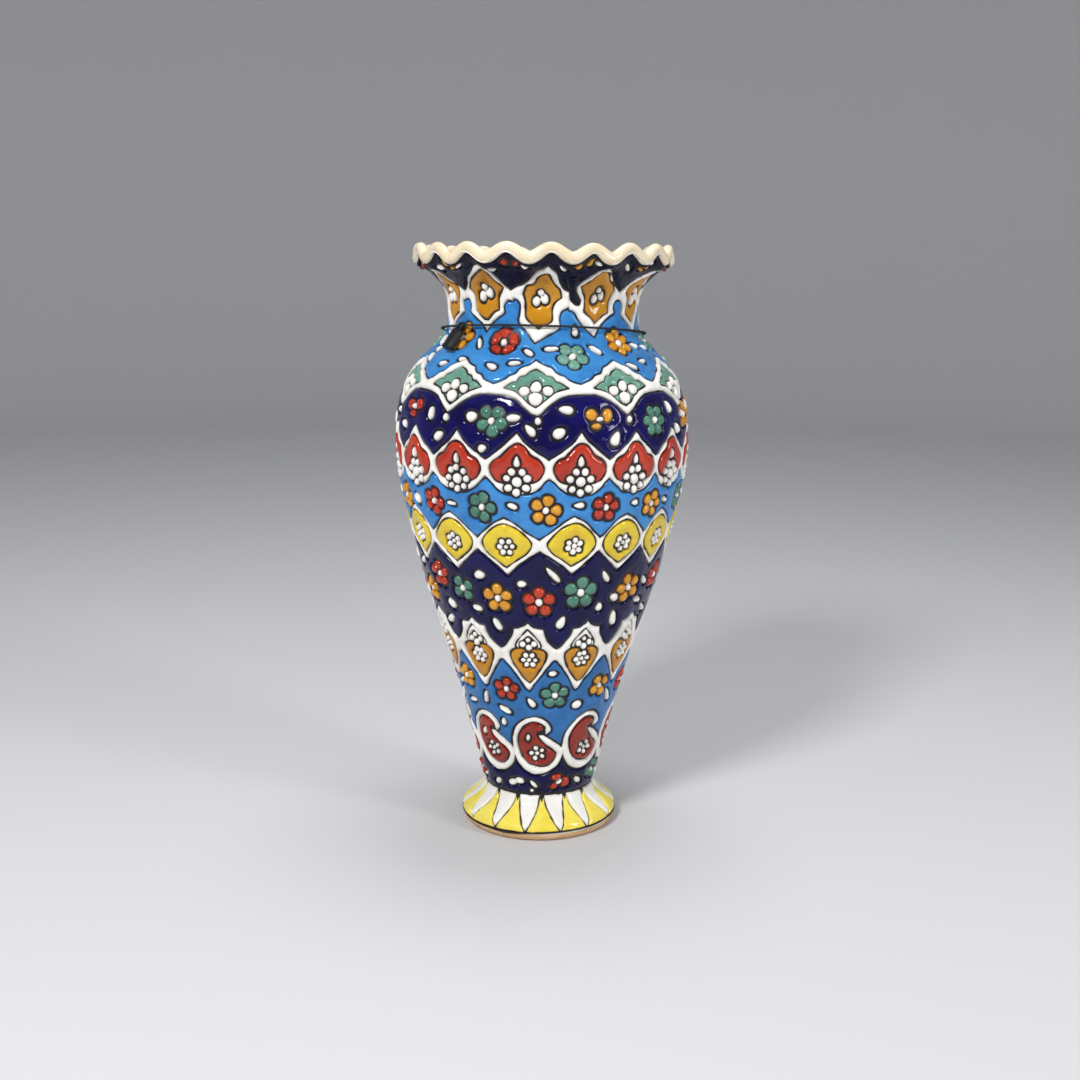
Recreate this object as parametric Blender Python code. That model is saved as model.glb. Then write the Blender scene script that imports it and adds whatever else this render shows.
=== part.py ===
"""Relief-enamelled pottery vase with a crimped lip, a footed base and a seal on a neck cord.

The clay is thrown in five sections that are luted together with lapped joints.  Fourteen fired
glaze bands and the lip's own glaze lie over the clay.  A cord loop can turn round the neck, and
its seal swings on the cord.

Metres, +Z up.  The origin is the centre of the resting ring, at the level of the ground.
Lengths in the constants below are in millimetres.  Angles are in degrees from the front (-Y),
positive towards +X.
"""

import math
from collections import namedtuple

import bmesh
import bpy
from mathutils import Matrix, Vector

MM = 0.001

# Driving dimensions of the glazed surface.
HEIGHT = 300.0
LIP_RADIUS = 65.1
NECK_RADIUS = 48.0
BELLY_RADIUS = 74.6
WAIST_RADIUS = 29.5
FOOT_RADIUS = 41.0
BASE_RADIUS = 38.5

NECK_Z = 268.0
BELLY_Z = 204.0
WAIST_Z = 21.0
FOOT_Z = 5.5

# Turned profile of the glazed surface: height and radius, joined by a smooth curve.
PROFILE = (
    (0.0, BASE_RADIUS),
    (3.0, 40.6),
    (FOOT_Z, FOOT_RADIUS),
    (8.0, 40.4),
    (10.0, 38.5),
    (13.0, 34.8),
    (17.0, 30.8),
    (WAIST_Z, WAIST_RADIUS),
    (28.0, 31.2),
    (44.0, 34.9),
    (76.0, 43.1),
    (108.0, 52.9),
    (140.0, 62.7),
    (172.0, 70.8),
    (188.0, 73.5),
    (BELLY_Z, BELLY_RADIUS),
    (220.0, 73.3),
    (228.0, 70.9),
    (236.0, 67.2),
    (244.0, 61.5),
    (250.0, 55.5),
    (254.0, 51.6),
    (258.0, 49.2),
    (262.0, 48.2),
    (NECK_Z, NECK_RADIUS),
    (274.0, 48.6),
    (279.0, 50.5),
    (284.0, 55.0),
    (289.0, 61.5),
    (291.0, 63.6),
)

# Thicknesses, measured square to the surface.
GLAZE_THICKNESS = 1.1
CLAY_DEPTH = 1.6
FLARE_CLAY_DEPTH = 2.0
WALL_AT_FLOOR = 6.4
WALL_AT_NECK = 3.8
GAP = 0.3

# Crimped lip: a roll whose centre line rises and falls.
WAVES = 19
WAVE_RISE = 3.0
WAVE_TROUGH_ANGLE = -6.5
WAVE_START_Z = 285.0
WAVE_FULL_Z = 291.0
LIP_ROLL = 2.9
LIP_CORE = 1.2
LIP_CENTRE_R = LIP_RADIUS - LIP_ROLL
LIP_CENTRE_Z = HEIGHT - WAVE_RISE - LIP_ROLL
RIM_SEGMENTS = 4 * WAVES

# Luted joints between the clay sections.
FOOT_JOINT_Z = 22.0
BODY_JOINT_Z = 150.0
NECK_JOINT_Z = 262.0
RIM_JOINT_Z = 281.0
LAP = 3.0
KEY_RADIUS = 15.0
KEY_HEIGHT = 2.0
CLAY_SEGMENTS = 40

# Foot and floor.
BARE_FOOT_TOP = 3.7
GLAZE_FOOT_EDGE = 4.1
RING_INNER_RADIUS = 31.0
RECESS_TOP = 12.0
FLOOR_Z = 30.0

# Cord and seal.
CORD_RADIUS = 0.6
CORD_CLEARANCE = 0.9
CORD_Z = 261.5
CORD_TILT = 0.85
CORD_DIP = 4.3
CORD_SEGMENTS = 48
CORD_SIDES = 6
SEAL_ANGLE = -50.0
SEAL_DROP_ANGLE = 50.0
SEAL_HOLE_RADIUS = 0.9
EYE_LIFT = 0.8
EYE_LIFT_SPREAD = 10.0
SEAL_CORNERS = 12

Edge = namedtuple("Edge", "motifs first_angle heights")
Band = namedtuple("Band", "name lower upper strips colour roughness")


def ring_edge(height):
    """A level edge, with as many points as a band of fourteen motifs needs."""
    return Edge(14, -10.5, (height,) * 4)


# Edges between the glaze bands, bottom to top.  Each one repeats a motif, and its heights run
# from the motif's centre through its right-hand node and back to the next centre.
FOOT_EDGE = ring_edge(GLAZE_FOOT_EDGE)
WAIST_EDGE = ring_edge(20.6)
PAISLEY_LOW = Edge(9, -1.0, (33.0, 35.5, 40.0, 35.5))
PAISLEY_TOP = Edge(9, -1.0, (66.0, 58.0, 50.0, 58.0))
HEART_LOW = Edge(11, -6.5, (81.0, 90.0, 98.0, 90.0))
HEART_TOP = Edge(11, -6.5, (119.0, 111.0, 105.0, 111.0))
DIAMOND_LOW = Edge(15, -14.5, (145.0, 151.0, 156.0, 151.0))
DIAMOND_TOP = Edge(15, -14.5, (173.0, 167.0, 161.0, 167.0))
MEDALLION_LOW = Edge(16, -9.0, (183.0, 186.0, 191.0, 186.0))
MEDALLION_TOP = Edge(16, -9.0, (213.5, 207.0, 200.0, 207.0))
SHOULDER_LOW = Edge(10, -3.0, (222.0, 227.5, 230.0, 231.0, 230.0, 227.5))
SHOULDER_TOP = Edge(10, -3.0, (245.0, 242.5, 239.5, 236.5, 239.5, 242.5))
NECK_LOW = Edge(11, -0.5, (256.5, 262.0, 271.0, 262.0))
NECK_TOP = Edge(11, -0.5, (286.5, 283.0, 276.5, 283.0))
RIM_TOP = Edge(WAVES, WAVE_TROUGH_ANGLE, (289.9,) * 4)

WHITE = (0.80, 0.78, 0.72)
COBALT = (0.015, 0.010, 0.16)
SKY_BLUE = (0.08, 0.30, 0.62)
CREAM = (0.78, 0.66, 0.45)
CLAY = (0.66, 0.42, 0.26)
BLACK = (0.02, 0.02, 0.02)
GLOSS = 0.12

BANDS = (
    Band("foot_glaze", FOOT_EDGE, WAIST_EDGE, 4, WHITE, GLOSS),
    Band("cobalt_band_foot", WAIST_EDGE, PAISLEY_LOW, 2, COBALT, GLOSS),
    Band("paisley_band", PAISLEY_LOW, PAISLEY_TOP, 1, WHITE, GLOSS),
    Band("blue_band_lower", PAISLEY_TOP, HEART_LOW, 1, SKY_BLUE, GLOSS),
    Band("heart_lattice", HEART_LOW, HEART_TOP, 1, WHITE, GLOSS),
    Band("cobalt_band_waist", HEART_TOP, DIAMOND_LOW, 2, COBALT, GLOSS),
    Band("diamond_lattice", DIAMOND_LOW, DIAMOND_TOP, 2, WHITE, GLOSS),
    Band("blue_band_belly", DIAMOND_TOP, MEDALLION_LOW, 2, SKY_BLUE, GLOSS),
    Band("medallion_lattice", MEDALLION_LOW, MEDALLION_TOP, 2, WHITE, GLOSS),
    Band("cobalt_band_shoulder", MEDALLION_TOP, SHOULDER_LOW, 3, COBALT, GLOSS),
    Band("shoulder_lattice", SHOULDER_LOW, SHOULDER_TOP, 2, WHITE, GLOSS),
    Band("blue_band_shoulder", SHOULDER_TOP, NECK_LOW, 6, SKY_BLUE, GLOSS),
    Band("neck_lattice", NECK_LOW, NECK_TOP, 6, WHITE, GLOSS),
    Band("cobalt_band_rim", NECK_TOP, RIM_TOP, 4, COBALT, GLOSS),
)


# ---- The turned surface ----

def curve_slope(index):
    """Slope of the profile curve at one of its points, chosen so that it never overshoots."""
    if index == 0 or index == len(PROFILE) - 1:
        neighbour = 1 if index == 0 else index - 1
        (z0, r0), (z1, r1) = PROFILE[index], PROFILE[neighbour]
        return (r1 - r0) / (z1 - z0)
    (z0, r0), (z1, r1), (z2, r2) = PROFILE[index - 1:index + 2]
    before = (r1 - r0) / (z1 - z0)
    after = (r2 - r1) / (z2 - z1)
    if before * after <= 0.0:
        return 0.0
    return 2.0 * before * after / (before + after)


SLOPES = tuple(curve_slope(i) for i in range(len(PROFILE)))


def radius_at(z):
    """Radius of the glazed surface at a height: a cubic through the profile's points."""
    last = len(PROFILE) - 2
    i = next((k for k in range(last) if z < PROFILE[k + 1][0]), last)
    (z0, r0), (z1, r1) = PROFILE[i], PROFILE[i + 1]
    span = z1 - z0
    t = (z - z0) / span
    return (
        r0 * (1.0 + 2.0 * t) * (1.0 - t) ** 2
        + SLOPES[i] * span * t * (1.0 - t) ** 2
        + r1 * t * t * (3.0 - 2.0 * t)
        + SLOPES[i + 1] * span * t * t * (t - 1.0)
    )


def below_surface(z, depth):
    """Radius and height of the point that lies square below the surface at a height."""
    step = 0.2
    slope = (radius_at(z + step) - radius_at(z - step)) / (2.0 * step)
    length = math.hypot(1.0, slope)
    return radius_at(z) - depth / length, z + depth * slope / length


def wall_at(z):
    """Thickness of the clay wall, which thins from the floor to the neck."""
    t = (z - FLOOR_Z) / (RIM_JOINT_Z - FLOOR_Z)
    return WALL_AT_FLOOR + (WALL_AT_NECK - WALL_AT_FLOOR) * t


def wave_shift(z, angle):
    """Rise of the crimped lip over its mean level, faded out below the flare."""
    t = (z - WAVE_START_Z) / (WAVE_FULL_Z - WAVE_START_Z)
    t = min(1.0, max(0.0, t))
    fade = t * t * (3.0 - 2.0 * t)
    turn = math.radians(WAVES * (angle - WAVE_TROUGH_ANGLE))
    return -WAVE_RISE * fade * math.cos(turn)


def place(radius, z, angle):
    """World position of a point given by radius, height and angle."""
    turn = math.radians(angle)
    return (radius * math.sin(turn) * MM, -radius * math.cos(turn) * MM, z * MM)


def even_angles(count, first=0.0):
    """Angles of equal pitch, in rising order from zero."""
    return sorted((first + 360.0 * k / count) % 360.0 for k in range(count))


# ---- Mesh building ----

def stitch(low, high):
    """Faces between two rings of (angle, index) pairs, which may differ in their counts."""
    faces = []
    if len(low) == 1 and len(high) == 1:
        return faces
    if len(low) == 1:
        tip = low[0][1]
        return [(tip, high[(k + 1) % len(high)][1], high[k][1]) for k in range(len(high))]
    if len(high) == 1:
        tip = high[0][1]
        return [(low[k][1], low[(k + 1) % len(low)][1], tip) for k in range(len(low))]
    i = 0
    j = 0
    while i < len(low) or j < len(high):
        here_low = low[i % len(low)][1]
        here_high = high[j % len(high)][1]
        next_low = low[(i + 1) % len(low)][0] + 360.0 * ((i + 1) // len(low))
        next_high = high[(j + 1) % len(high)][0] + 360.0 * ((j + 1) // len(high))
        if i < len(low) and (j >= len(high) or next_low <= next_high):
            faces.append((here_low, low[(i + 1) % len(low)][1], here_high))
            i += 1
        else:
            faces.append((here_low, high[(j + 1) % len(high)][1], here_high))
            j += 1
    return faces


def ring_solid(rings):
    """Mesh data of a closed solid whose section runs through the rings and back to the first."""
    points = []
    indexed = []
    for ring in rings:
        indexed.append([(angle, len(points) + k) for k, (angle, _) in enumerate(ring)])
        points.extend(point for _, point in ring)
    faces = []
    for low, high in zip(indexed, indexed[1:] + indexed[:1]):
        faces.extend(stitch(low, high))
    return points, faces


def turned_rings(outline, angles):
    """Rings of a turned outline; a point on the axis becomes a single vertex."""
    rings = []
    for radius, z in outline:
        if radius == 0.0:
            rings.append([(0.0, place(0.0, z, 0.0))])
        else:
            rings.append([(a, place(radius, z, a)) for a in angles])
    return rings


def make_material(name, colour, roughness):
    """Plain Principled material."""
    material = bpy.data.materials.new(name)
    material.use_nodes = True
    shader = material.node_tree.nodes["Principled BSDF"]
    shader.inputs["Base Color"].default_value = (*colour, 1.0)
    shader.inputs["Roughness"].default_value = roughness
    shader.inputs["Metallic"].default_value = 0.0
    return material


def add_object(name, points, faces, colour, roughness, parent, origin=(0.0, 0.0, 0.0)):
    """Object from world-space mesh data, with its origin where it is asked for."""
    centre = Vector(origin)
    mesh = bpy.data.meshes.new(name)
    mesh.from_pydata([Vector(p) - centre for p in points], [], faces)
    mesh.shade_smooth()
    mesh.set_sharp_from_angle(angle=math.radians(35.0))
    mesh.materials.append(make_material(name, colour, roughness))
    part = bpy.data.objects.new(name, mesh)
    bpy.context.scene.collection.objects.link(part)
    part.parent = parent
    part.location = centre - Vector(parent.location)
    return part


def add_empty(name, location, parent=None):
    """Empty that marks a body's own axis."""
    empty = bpy.data.objects.new(name, None)
    bpy.context.scene.collection.objects.link(empty)
    empty.parent = parent
    base = Vector(parent.location) if parent else Vector((0.0, 0.0, 0.0))
    empty.location = Vector(location) - base
    return empty


# ---- Clay sections ----

def outer_line(heights, depth=CLAY_DEPTH):
    """Outside of the clay, at the given heights."""
    return [below_surface(z, depth) for z in heights]


def inner_line(heights):
    """Inside of the clay wall, at the given heights."""
    return [below_surface(z, CLAY_DEPTH + wall_at(z)) for z in heights]


def lap_under(z):
    """Top edge of a section whose inner half stands up as a tongue."""
    middle = CLAY_DEPTH + 0.5 * wall_at(z) + 0.5 * GAP
    return [
        below_surface(z, CLAY_DEPTH),
        below_surface(z, middle),
        below_surface(z + LAP, middle),
        below_surface(z + LAP, CLAY_DEPTH + wall_at(z + LAP)),
    ]


def lap_over(z):
    """Bottom edge of the section above, rebated to take the tongue, from inside to outside."""
    middle = CLAY_DEPTH + 0.5 * wall_at(z) - 0.5 * GAP
    seat = z + GAP
    return [
        below_surface(seat + LAP, CLAY_DEPTH + wall_at(seat + LAP)),
        below_surface(seat + LAP, middle),
        below_surface(seat, middle),
        below_surface(seat, CLAY_DEPTH),
    ]


def foot_outline():
    """Flared foot: bare resting ring, hollow underneath, and a keyed top."""
    bare = [(BASE_RADIUS - 0.4, 0.0), (39.6, 1.2), (40.6, 3.0), (FOOT_RADIUS - 0.1, BARE_FOOT_TOP)]
    ledge = [(FOOT_RADIUS - FLARE_CLAY_DEPTH, BARE_FOOT_TOP)]
    flare = outer_line((7.0, 9.0, 11.0, 13.5, 16.5), FLARE_CLAY_DEPTH) + outer_line((FOOT_JOINT_Z,))
    key = [(KEY_RADIUS, FOOT_JOINT_Z), (KEY_RADIUS, FOOT_JOINT_Z + KEY_HEIGHT)]
    axis = [(0.0, FOOT_JOINT_Z + KEY_HEIGHT), (0.0, RECESS_TOP)]
    recess = [(20.0, RECESS_TOP), (26.5, 9.8), (29.8, 4.5), (RING_INNER_RADIUS, 0.0)]
    return bare + ledge + flare + key + axis + recess


def lower_body_outline():
    """Lower cone of the body, with the floor inside."""
    bottom = FOOT_JOINT_Z + GAP
    socket = KEY_RADIUS + GAP
    base = [(0.0, bottom + KEY_HEIGHT), (socket, bottom + KEY_HEIGHT), (socket, bottom)]
    outside = outer_line((bottom, 28.0, 36.0, 52.0, 72.0, 94.0, 118.0, 140.0))
    inside = inner_line((140.0, 92.0, 52.0, 40.0))
    floor = [(20.5, 33.5), (16.0, FLOOR_Z + 0.8), (9.0, FLOOR_Z), (0.0, FLOOR_Z)]
    return base + outside + lap_under(BODY_JOINT_Z) + inside + floor


def upper_body_outline():
    """Belly and shoulder, up to the root of the neck."""
    outside = outer_line((166.0, 182.0, 196.0, 208.0, 218.0, 226.0, 232.0, 238.0, 243.0, 247.5,
                          252.0, 256.5))
    inside = inner_line((257.0, 250.0, 241.0, 228.0, 204.0, 180.0))
    return lap_over(BODY_JOINT_Z) + outside + lap_under(NECK_JOINT_Z) + inside


def neck_outline():
    """Waisted neck between the shoulder and the flare."""
    outside = outer_line((268.0, 273.5, 277.5))
    inside = inner_line((277.5, 272.0))
    return lap_over(NECK_JOINT_Z) + outside + lap_under(RIM_JOINT_Z) + inside


def rim_rings():
    """Crimped flare: the turned section rises and falls with the lip's waves."""
    lower = lap_over(RIM_JOINT_Z)
    outside_z = (283.0, 285.5, 287.5, 289.0)
    inside_z = (289.2, 287.0)
    core = [math.radians(a) for a in (-115.0, -20.0, 75.0, 172.0)]
    section = [(r, z, RIM_JOINT_Z) for r, z in lower]
    section += [(*below_surface(z, FLARE_CLAY_DEPTH), z) for z in outside_z]
    section += [
        (LIP_CENTRE_R + LIP_CORE * math.cos(t), LIP_CENTRE_Z + LIP_CORE * math.sin(t), HEIGHT)
        for t in core
    ]
    section += [(*below_surface(z, CLAY_DEPTH + WALL_AT_NECK - 0.5), z) for z in inside_z]
    angles = even_angles(RIM_SEGMENTS, WAVE_TROUGH_ANGLE)
    return [
        [(a, place(r, z + wave_shift(level, a), a)) for a in angles]
        for r, z, level in section
    ]


def lip_glaze_rings():
    """Thick cream glaze that wraps the lip: a C section open towards the flare."""
    first, last = math.radians(-92.0), math.radians(168.0)
    steps = 4
    arc = [first + (last - first) * k / steps for k in range(steps + 1)]
    section = [(LIP_ROLL, t) for t in arc]
    section += [(LIP_CORE + GAP, t) for t in reversed(arc)]
    angles = even_angles(RIM_SEGMENTS, WAVE_TROUGH_ANGLE)
    rings = []
    for roll, t in section:
        radius = LIP_CENTRE_R + roll * math.cos(t)
        height = LIP_CENTRE_Z + roll * math.sin(t)
        rings.append([(a, place(radius, height + wave_shift(HEIGHT, a), a)) for a in angles])
    return rings


def add_clay(vase):
    """The five clay sections and the glazed lip."""
    angles = even_angles(CLAY_SEGMENTS)
    outlines = {
        "foot": foot_outline(),
        "lower_body": lower_body_outline(),
        "upper_body": upper_body_outline(),
        "neck": neck_outline(),
    }
    for name, outline in outlines.items():
        add_object(name, *ring_solid(turned_rings(outline, angles)), CLAY, 0.85, vase)
    add_object("crimped_rim", *ring_solid(rim_rings()), CLAY, 0.85, vase)
    add_object("lip_glaze", *ring_solid(lip_glaze_rings()), CREAM, 0.2, vase)


# ---- Glaze bands ----

def edge_angles(edge):
    """Angles at which an edge has its points."""
    return even_angles(edge.motifs * len(edge.heights), edge.first_angle)


def edge_height(edge, angle):
    """Height of an edge at an angle, straight between its points."""
    steps = len(edge.heights)
    turn = ((angle - edge.first_angle) * edge.motifs / 360.0) % 1.0 * steps
    nearest = round(turn)
    if abs(turn - nearest) < 1e-6:
        return edge.heights[nearest % steps]
    i = int(turn)
    t = turn - i
    return edge.heights[i % steps] * (1.0 - t) + edge.heights[(i + 1) % steps] * t


def band_ring(band, share, depth):
    """One ring of a band's skin, a share of the way up from its lower to its upper edge."""
    low_angles = edge_angles(band.lower)
    top_angles = edge_angles(band.upper)
    if share == 0.0:
        angles = low_angles
    elif share == 1.0:
        angles = top_angles
    else:
        angles = max(low_angles, top_angles, key=len)
    ring = []
    for angle in angles:
        low = edge_height(band.lower, angle) + 0.5 * GAP
        top = edge_height(band.upper, angle) - 0.5 * GAP
        level = low + (top - low) * share
        radius, z = below_surface(level, depth)
        ring.append((angle, place(radius, z + wave_shift(level, angle), angle)))
    return ring


def add_glaze(vase):
    """Glaze bands, each a closed shell between its two shaped edges."""
    for band in BANDS:
        shares = [k / band.strips for k in range(band.strips + 1)]
        rings = [band_ring(band, share, 0.0) for share in shares]
        rings += [band_ring(band, share, GLAZE_THICKNESS) for share in reversed(shares)]
        add_object(band.name, *ring_solid(rings), band.colour, band.roughness, vase)


# ---- Cord and seal ----

def cord_centre(angle):
    """Radius and height of the cord's centre line.

    The loop hangs lower at the back and a little lower on one side.  It stands off square to
    the surface, and the seal's eye holds it off a little further.
    """
    turn = math.radians(angle)
    z = CORD_Z - CORD_TILT * math.sin(turn) - CORD_DIP * (1.0 - math.cos(turn))
    off_seal = (angle - SEAL_ANGLE + 180.0) % 360.0 - 180.0
    lift = EYE_LIFT * math.exp(-(off_seal / EYE_LIFT_SPREAD) ** 2)
    step = 0.2
    slope = (radius_at(z + step) - radius_at(z - step)) / (2.0 * step)
    stand_off = (CORD_CLEARANCE + CORD_RADIUS + lift) * math.hypot(1.0, slope)
    return radius_at(z) + stand_off, z


def add_cord(cord_axis):
    """Cord tied into a loop that stands just clear of the neck."""
    rings = []
    angles = even_angles(CORD_SEGMENTS, SEAL_ANGLE)
    for k in range(CORD_SIDES):
        t = -2.0 * math.pi * k / CORD_SIDES
        ring = []
        for angle in angles:
            radius, z = cord_centre(angle)
            radius -= CORD_RADIUS * math.cos(t)
            ring.append((angle, place(radius, z + CORD_RADIUS * math.sin(t), angle)))
        rings.append(ring)
    add_object("neck_cord", *ring_solid(rings), BLACK, 0.7, cord_axis, cord_axis.location)


def seal_sections():
    """Seal's sections along its length: distance from the cord, half width, half thickness."""
    return (
        (-1.7, 1.2, 0.8),
        (-1.1, 1.8, 1.4),
        (0.0, 1.9, 1.6),
        (2.2, 1.9, 1.6),
        (3.6, 3.0, 1.7),
        (4.2, 3.25, 1.8),
        (13.2, 3.25, 1.9),
        (14.0, 2.9, 1.5),
    )


def rounded_section(half_width, half_thickness):
    """Corner-rounded rectangle, as points round a superellipse."""
    points = []
    for k in range(SEAL_CORNERS):
        turn = 2.0 * math.pi * (k + 0.5) / SEAL_CORNERS
        across = math.cos(turn)
        through = math.sin(turn)
        points.append((
            half_width * math.copysign(abs(across) ** 0.5, across),
            half_thickness * math.copysign(abs(through) ** 0.5, through),
        ))
    return points


def seal_frame():
    """Placement of the seal: length down the shoulder, width along the cord, thickness outwards."""
    turn = math.radians(SEAL_ANGLE)
    drop = math.radians(SEAL_DROP_ANGLE)
    outward = Vector((math.sin(turn), -math.cos(turn), 0.0))
    along_cord = Vector((math.cos(turn), math.sin(turn), 0.0))
    down = outward * math.cos(drop) - Vector((0.0, 0.0, math.sin(drop)))
    off_surface = along_cord.cross(down).normalized()
    if off_surface.z < 0.0:
        off_surface.negate()
    radius, z = cord_centre(SEAL_ANGLE)
    return Vector(place(radius, z, SEAL_ANGLE)), down, along_cord, off_surface


def add_seal(seal_axis):
    """Seal: a flat-sided tag with an eye, through which the cord passes."""
    origin, down, along_cord, off_surface = seal_frame()
    points = []
    for distance, half_width, half_thickness in seal_sections():
        for across, through in rounded_section(half_width, half_thickness):
            spot = origin + down * distance * MM + along_cord * across * MM
            points.append(spot + off_surface * through * MM)
    count = SEAL_CORNERS
    sections = len(points) // count
    faces = [tuple(range(count)), tuple(reversed(range(len(points) - count, len(points))))]
    for s in range(sections - 1):
        for k in range(count):
            a, b = s * count + k, s * count + (k + 1) % count
            faces.append((a, a + count, b + count, b))
    seal = add_object("seal", points, faces, BLACK, 0.6, seal_axis, origin)
    add_seal_hole(seal, origin, along_cord)


def add_seal_hole(seal, origin, along_cord):
    """Eye of the seal, bored along the cord."""
    cutter_mesh = bpy.data.meshes.new("eye_cutter")
    shape = bmesh.new()
    bmesh.ops.create_cone(shape, cap_ends=True, segments=12, radius1=SEAL_HOLE_RADIUS * MM,
                          radius2=SEAL_HOLE_RADIUS * MM, depth=12.0 * MM)
    turn = along_cord.to_track_quat("Z", "Y").to_matrix().to_4x4()
    bmesh.ops.transform(shape, matrix=Matrix.Translation(origin) @ turn, verts=shape.verts)
    shape.to_mesh(cutter_mesh)
    shape.free()
    cutter = bpy.data.objects.new("eye_cutter", cutter_mesh)
    bpy.context.scene.collection.objects.link(cutter)
    cutter.hide_render = True
    cutter.display_type = "WIRE"
    cut = seal.modifiers.new("eye", "BOOLEAN")
    cut.operation = "DIFFERENCE"
    cut.object = cutter


def main():
    """Build the whole vase in an empty scene."""
    for item in list(bpy.data.objects):
        bpy.data.objects.remove(item, do_unlink=True)
    vase = add_empty("vase_body", (0.0, 0.0, 0.0))
    add_clay(vase)
    add_glaze(vase)
    cord_axis = add_empty("cord_axis", (0.0, 0.0, CORD_Z * MM))
    add_cord(cord_axis)
    seal_axis = add_empty("seal_axis", seal_frame()[0])
    add_seal(seal_axis)
    bpy.context.view_layer.update()


main()
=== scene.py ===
"""Looks of the relief-enamelled vase: raised glaze cells, crimped lip, clay, cord and seal.

The painted pattern is laid out on the unrolled surface, in degrees round the vase and
millimetres of height.  Each cell of the pattern becomes raised glaze, with a groove of dark
outline glaze between cells.  Angles are measured from the front (-Y), positive towards +X.
"""

import math
import random
from collections import namedtuple

import bpy
import numpy as np
from mathutils import Matrix, Vector


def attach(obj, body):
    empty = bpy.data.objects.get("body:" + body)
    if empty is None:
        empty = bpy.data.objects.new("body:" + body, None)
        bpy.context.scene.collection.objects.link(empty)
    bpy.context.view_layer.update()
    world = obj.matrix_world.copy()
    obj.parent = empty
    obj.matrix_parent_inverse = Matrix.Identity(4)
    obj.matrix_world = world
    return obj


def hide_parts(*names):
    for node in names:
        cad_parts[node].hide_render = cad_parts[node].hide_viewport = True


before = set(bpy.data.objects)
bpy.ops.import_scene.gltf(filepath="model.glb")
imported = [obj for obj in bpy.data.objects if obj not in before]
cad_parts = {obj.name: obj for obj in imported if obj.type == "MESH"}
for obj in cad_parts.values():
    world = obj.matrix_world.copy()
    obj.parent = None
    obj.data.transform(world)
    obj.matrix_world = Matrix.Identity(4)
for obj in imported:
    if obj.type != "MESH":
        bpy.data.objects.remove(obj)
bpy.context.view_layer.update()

MM = 0.001
SEED = 41

# ---- Form of the glazed surface, in millimetres, as in the CAD ----

PROFILE = (
    (0.0, 38.5), (3.0, 40.6), (5.5, 41.0), (8.0, 40.4), (10.0, 38.5), (13.0, 34.8),
    (17.0, 30.8), (21.0, 29.5), (28.0, 31.2), (44.0, 34.9), (76.0, 43.1), (108.0, 52.9),
    (140.0, 62.7), (172.0, 70.8), (188.0, 73.5), (204.0, 74.6), (220.0, 73.3), (228.0, 70.9),
    (236.0, 67.2), (244.0, 61.5), (250.0, 55.5), (254.0, 51.6), (258.0, 49.2), (262.0, 48.2),
    (268.0, 48.0), (274.0, 48.6), (279.0, 50.5), (284.0, 55.0), (289.0, 61.5), (291.0, 63.6),
)
LIP_CENTRE_R = 62.2
LIP_CENTRE_Z = 294.8
LIP_ROLL = 2.85
WAVES = 19
WAVE_RISE = 2.35
WAVE_START_Z = 285.0
WAVE_FULL_Z = 291.0
GLAZE_WALL = 1.6
WALL_LOW = 6.4
WALL_HIGH = 3.8
FLOOR_Z = 30.0
BODY_JOINT = 150.0
NECK_JOINT = 262.0
RIM_JOINT = 281.0
JOINT = 0.1
FRONT_TROUGHS = (-43.7, -25.4, -6.0, 12.6, 30.6, 49.7)

# ---- Glaze ----

GRID_STEP = 0.42
GLAZE_DEPTH = 1.3
GLAZE_ROOT = 0.25
SHELL_DEPTH = 0.45
CLAY_DEPTH = GLAZE_DEPTH + SHELL_DEPTH + 0.1
FOOT_EDGE = 4.5
BARE_TOP = 3.9
GLAZE_TOP = 291.5
SHELL_TOP = 292.2

LINE_WOBBLE = 0.22
LINE_GRAIN = 2.9
BROAD_GRAIN = 6.0
FINE_GRAIN = 2.6
PILLOW_REACH = 5.0
# Reach of the edge tint: thin glaze where the rim colour is darker, a painted highlight where it is paler.
EDGE_TINT_REACH = 1.2

RANDOM = random.Random(SEED)
# Relief of a cell; swell, pillow and the CAD node it stands for have usual values.
Glaze = namedtuple(
    "Glaze", "material slot height rounding line swell pillow node", defaults=(0.1, 0.0, None)
)
LOOKS = {}


# ==== Surface maths ====

def profile_slopes():
    """Slopes of the smooth curve through the profile's points, without overshoot."""
    z = np.array([p[0] for p in PROFILE])
    r = np.array([p[1] for p in PROFILE])
    chord = np.diff(r) / np.diff(z)
    slopes = np.zeros(len(z))
    slopes[0], slopes[-1] = chord[0], chord[-1]
    for k in range(1, len(z) - 1):
        if chord[k - 1] * chord[k] > 0.0:
            slopes[k] = 2.0 * chord[k - 1] * chord[k] / (chord[k - 1] + chord[k])
    return z, r, slopes


PROFILE_Z, PROFILE_R, PROFILE_SLOPES = profile_slopes()
SLOPE_STEP = 0.2


def radius_at(z):
    """Radius of the glazed surface at a height, for numbers or arrays."""
    z = np.asarray(z, float)
    i = np.clip(np.searchsorted(PROFILE_Z, z, side="right") - 1, 0, len(PROFILE_Z) - 2)
    span = PROFILE_Z[i + 1] - PROFILE_Z[i]
    t = (z - PROFILE_Z[i]) / span
    start = PROFILE_R[i] * (1 + 2 * t) * (1 - t) ** 2 + PROFILE_SLOPES[i] * span * t * (1 - t) ** 2
    end = PROFILE_R[i + 1] * t * t * (3 - 2 * t) + PROFILE_SLOPES[i + 1] * span * t * t * (t - 1)
    return start + end


def slope_at(z):
    """Slope of the outline at a height, and its length for each millimetre of height."""
    slope = (radius_at(z + SLOPE_STEP) - radius_at(z - SLOPE_STEP)) / (2.0 * SLOPE_STEP)
    return slope, np.hypot(1.0, slope)


def around(r, turn, z):
    """Points at a radius and height, at a turn in radians from the front."""
    r, turn, z = np.broadcast_arrays(r, turn, z)
    return np.stack((r * np.sin(turn), -r * np.cos(turn), z), axis=-1)


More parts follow.
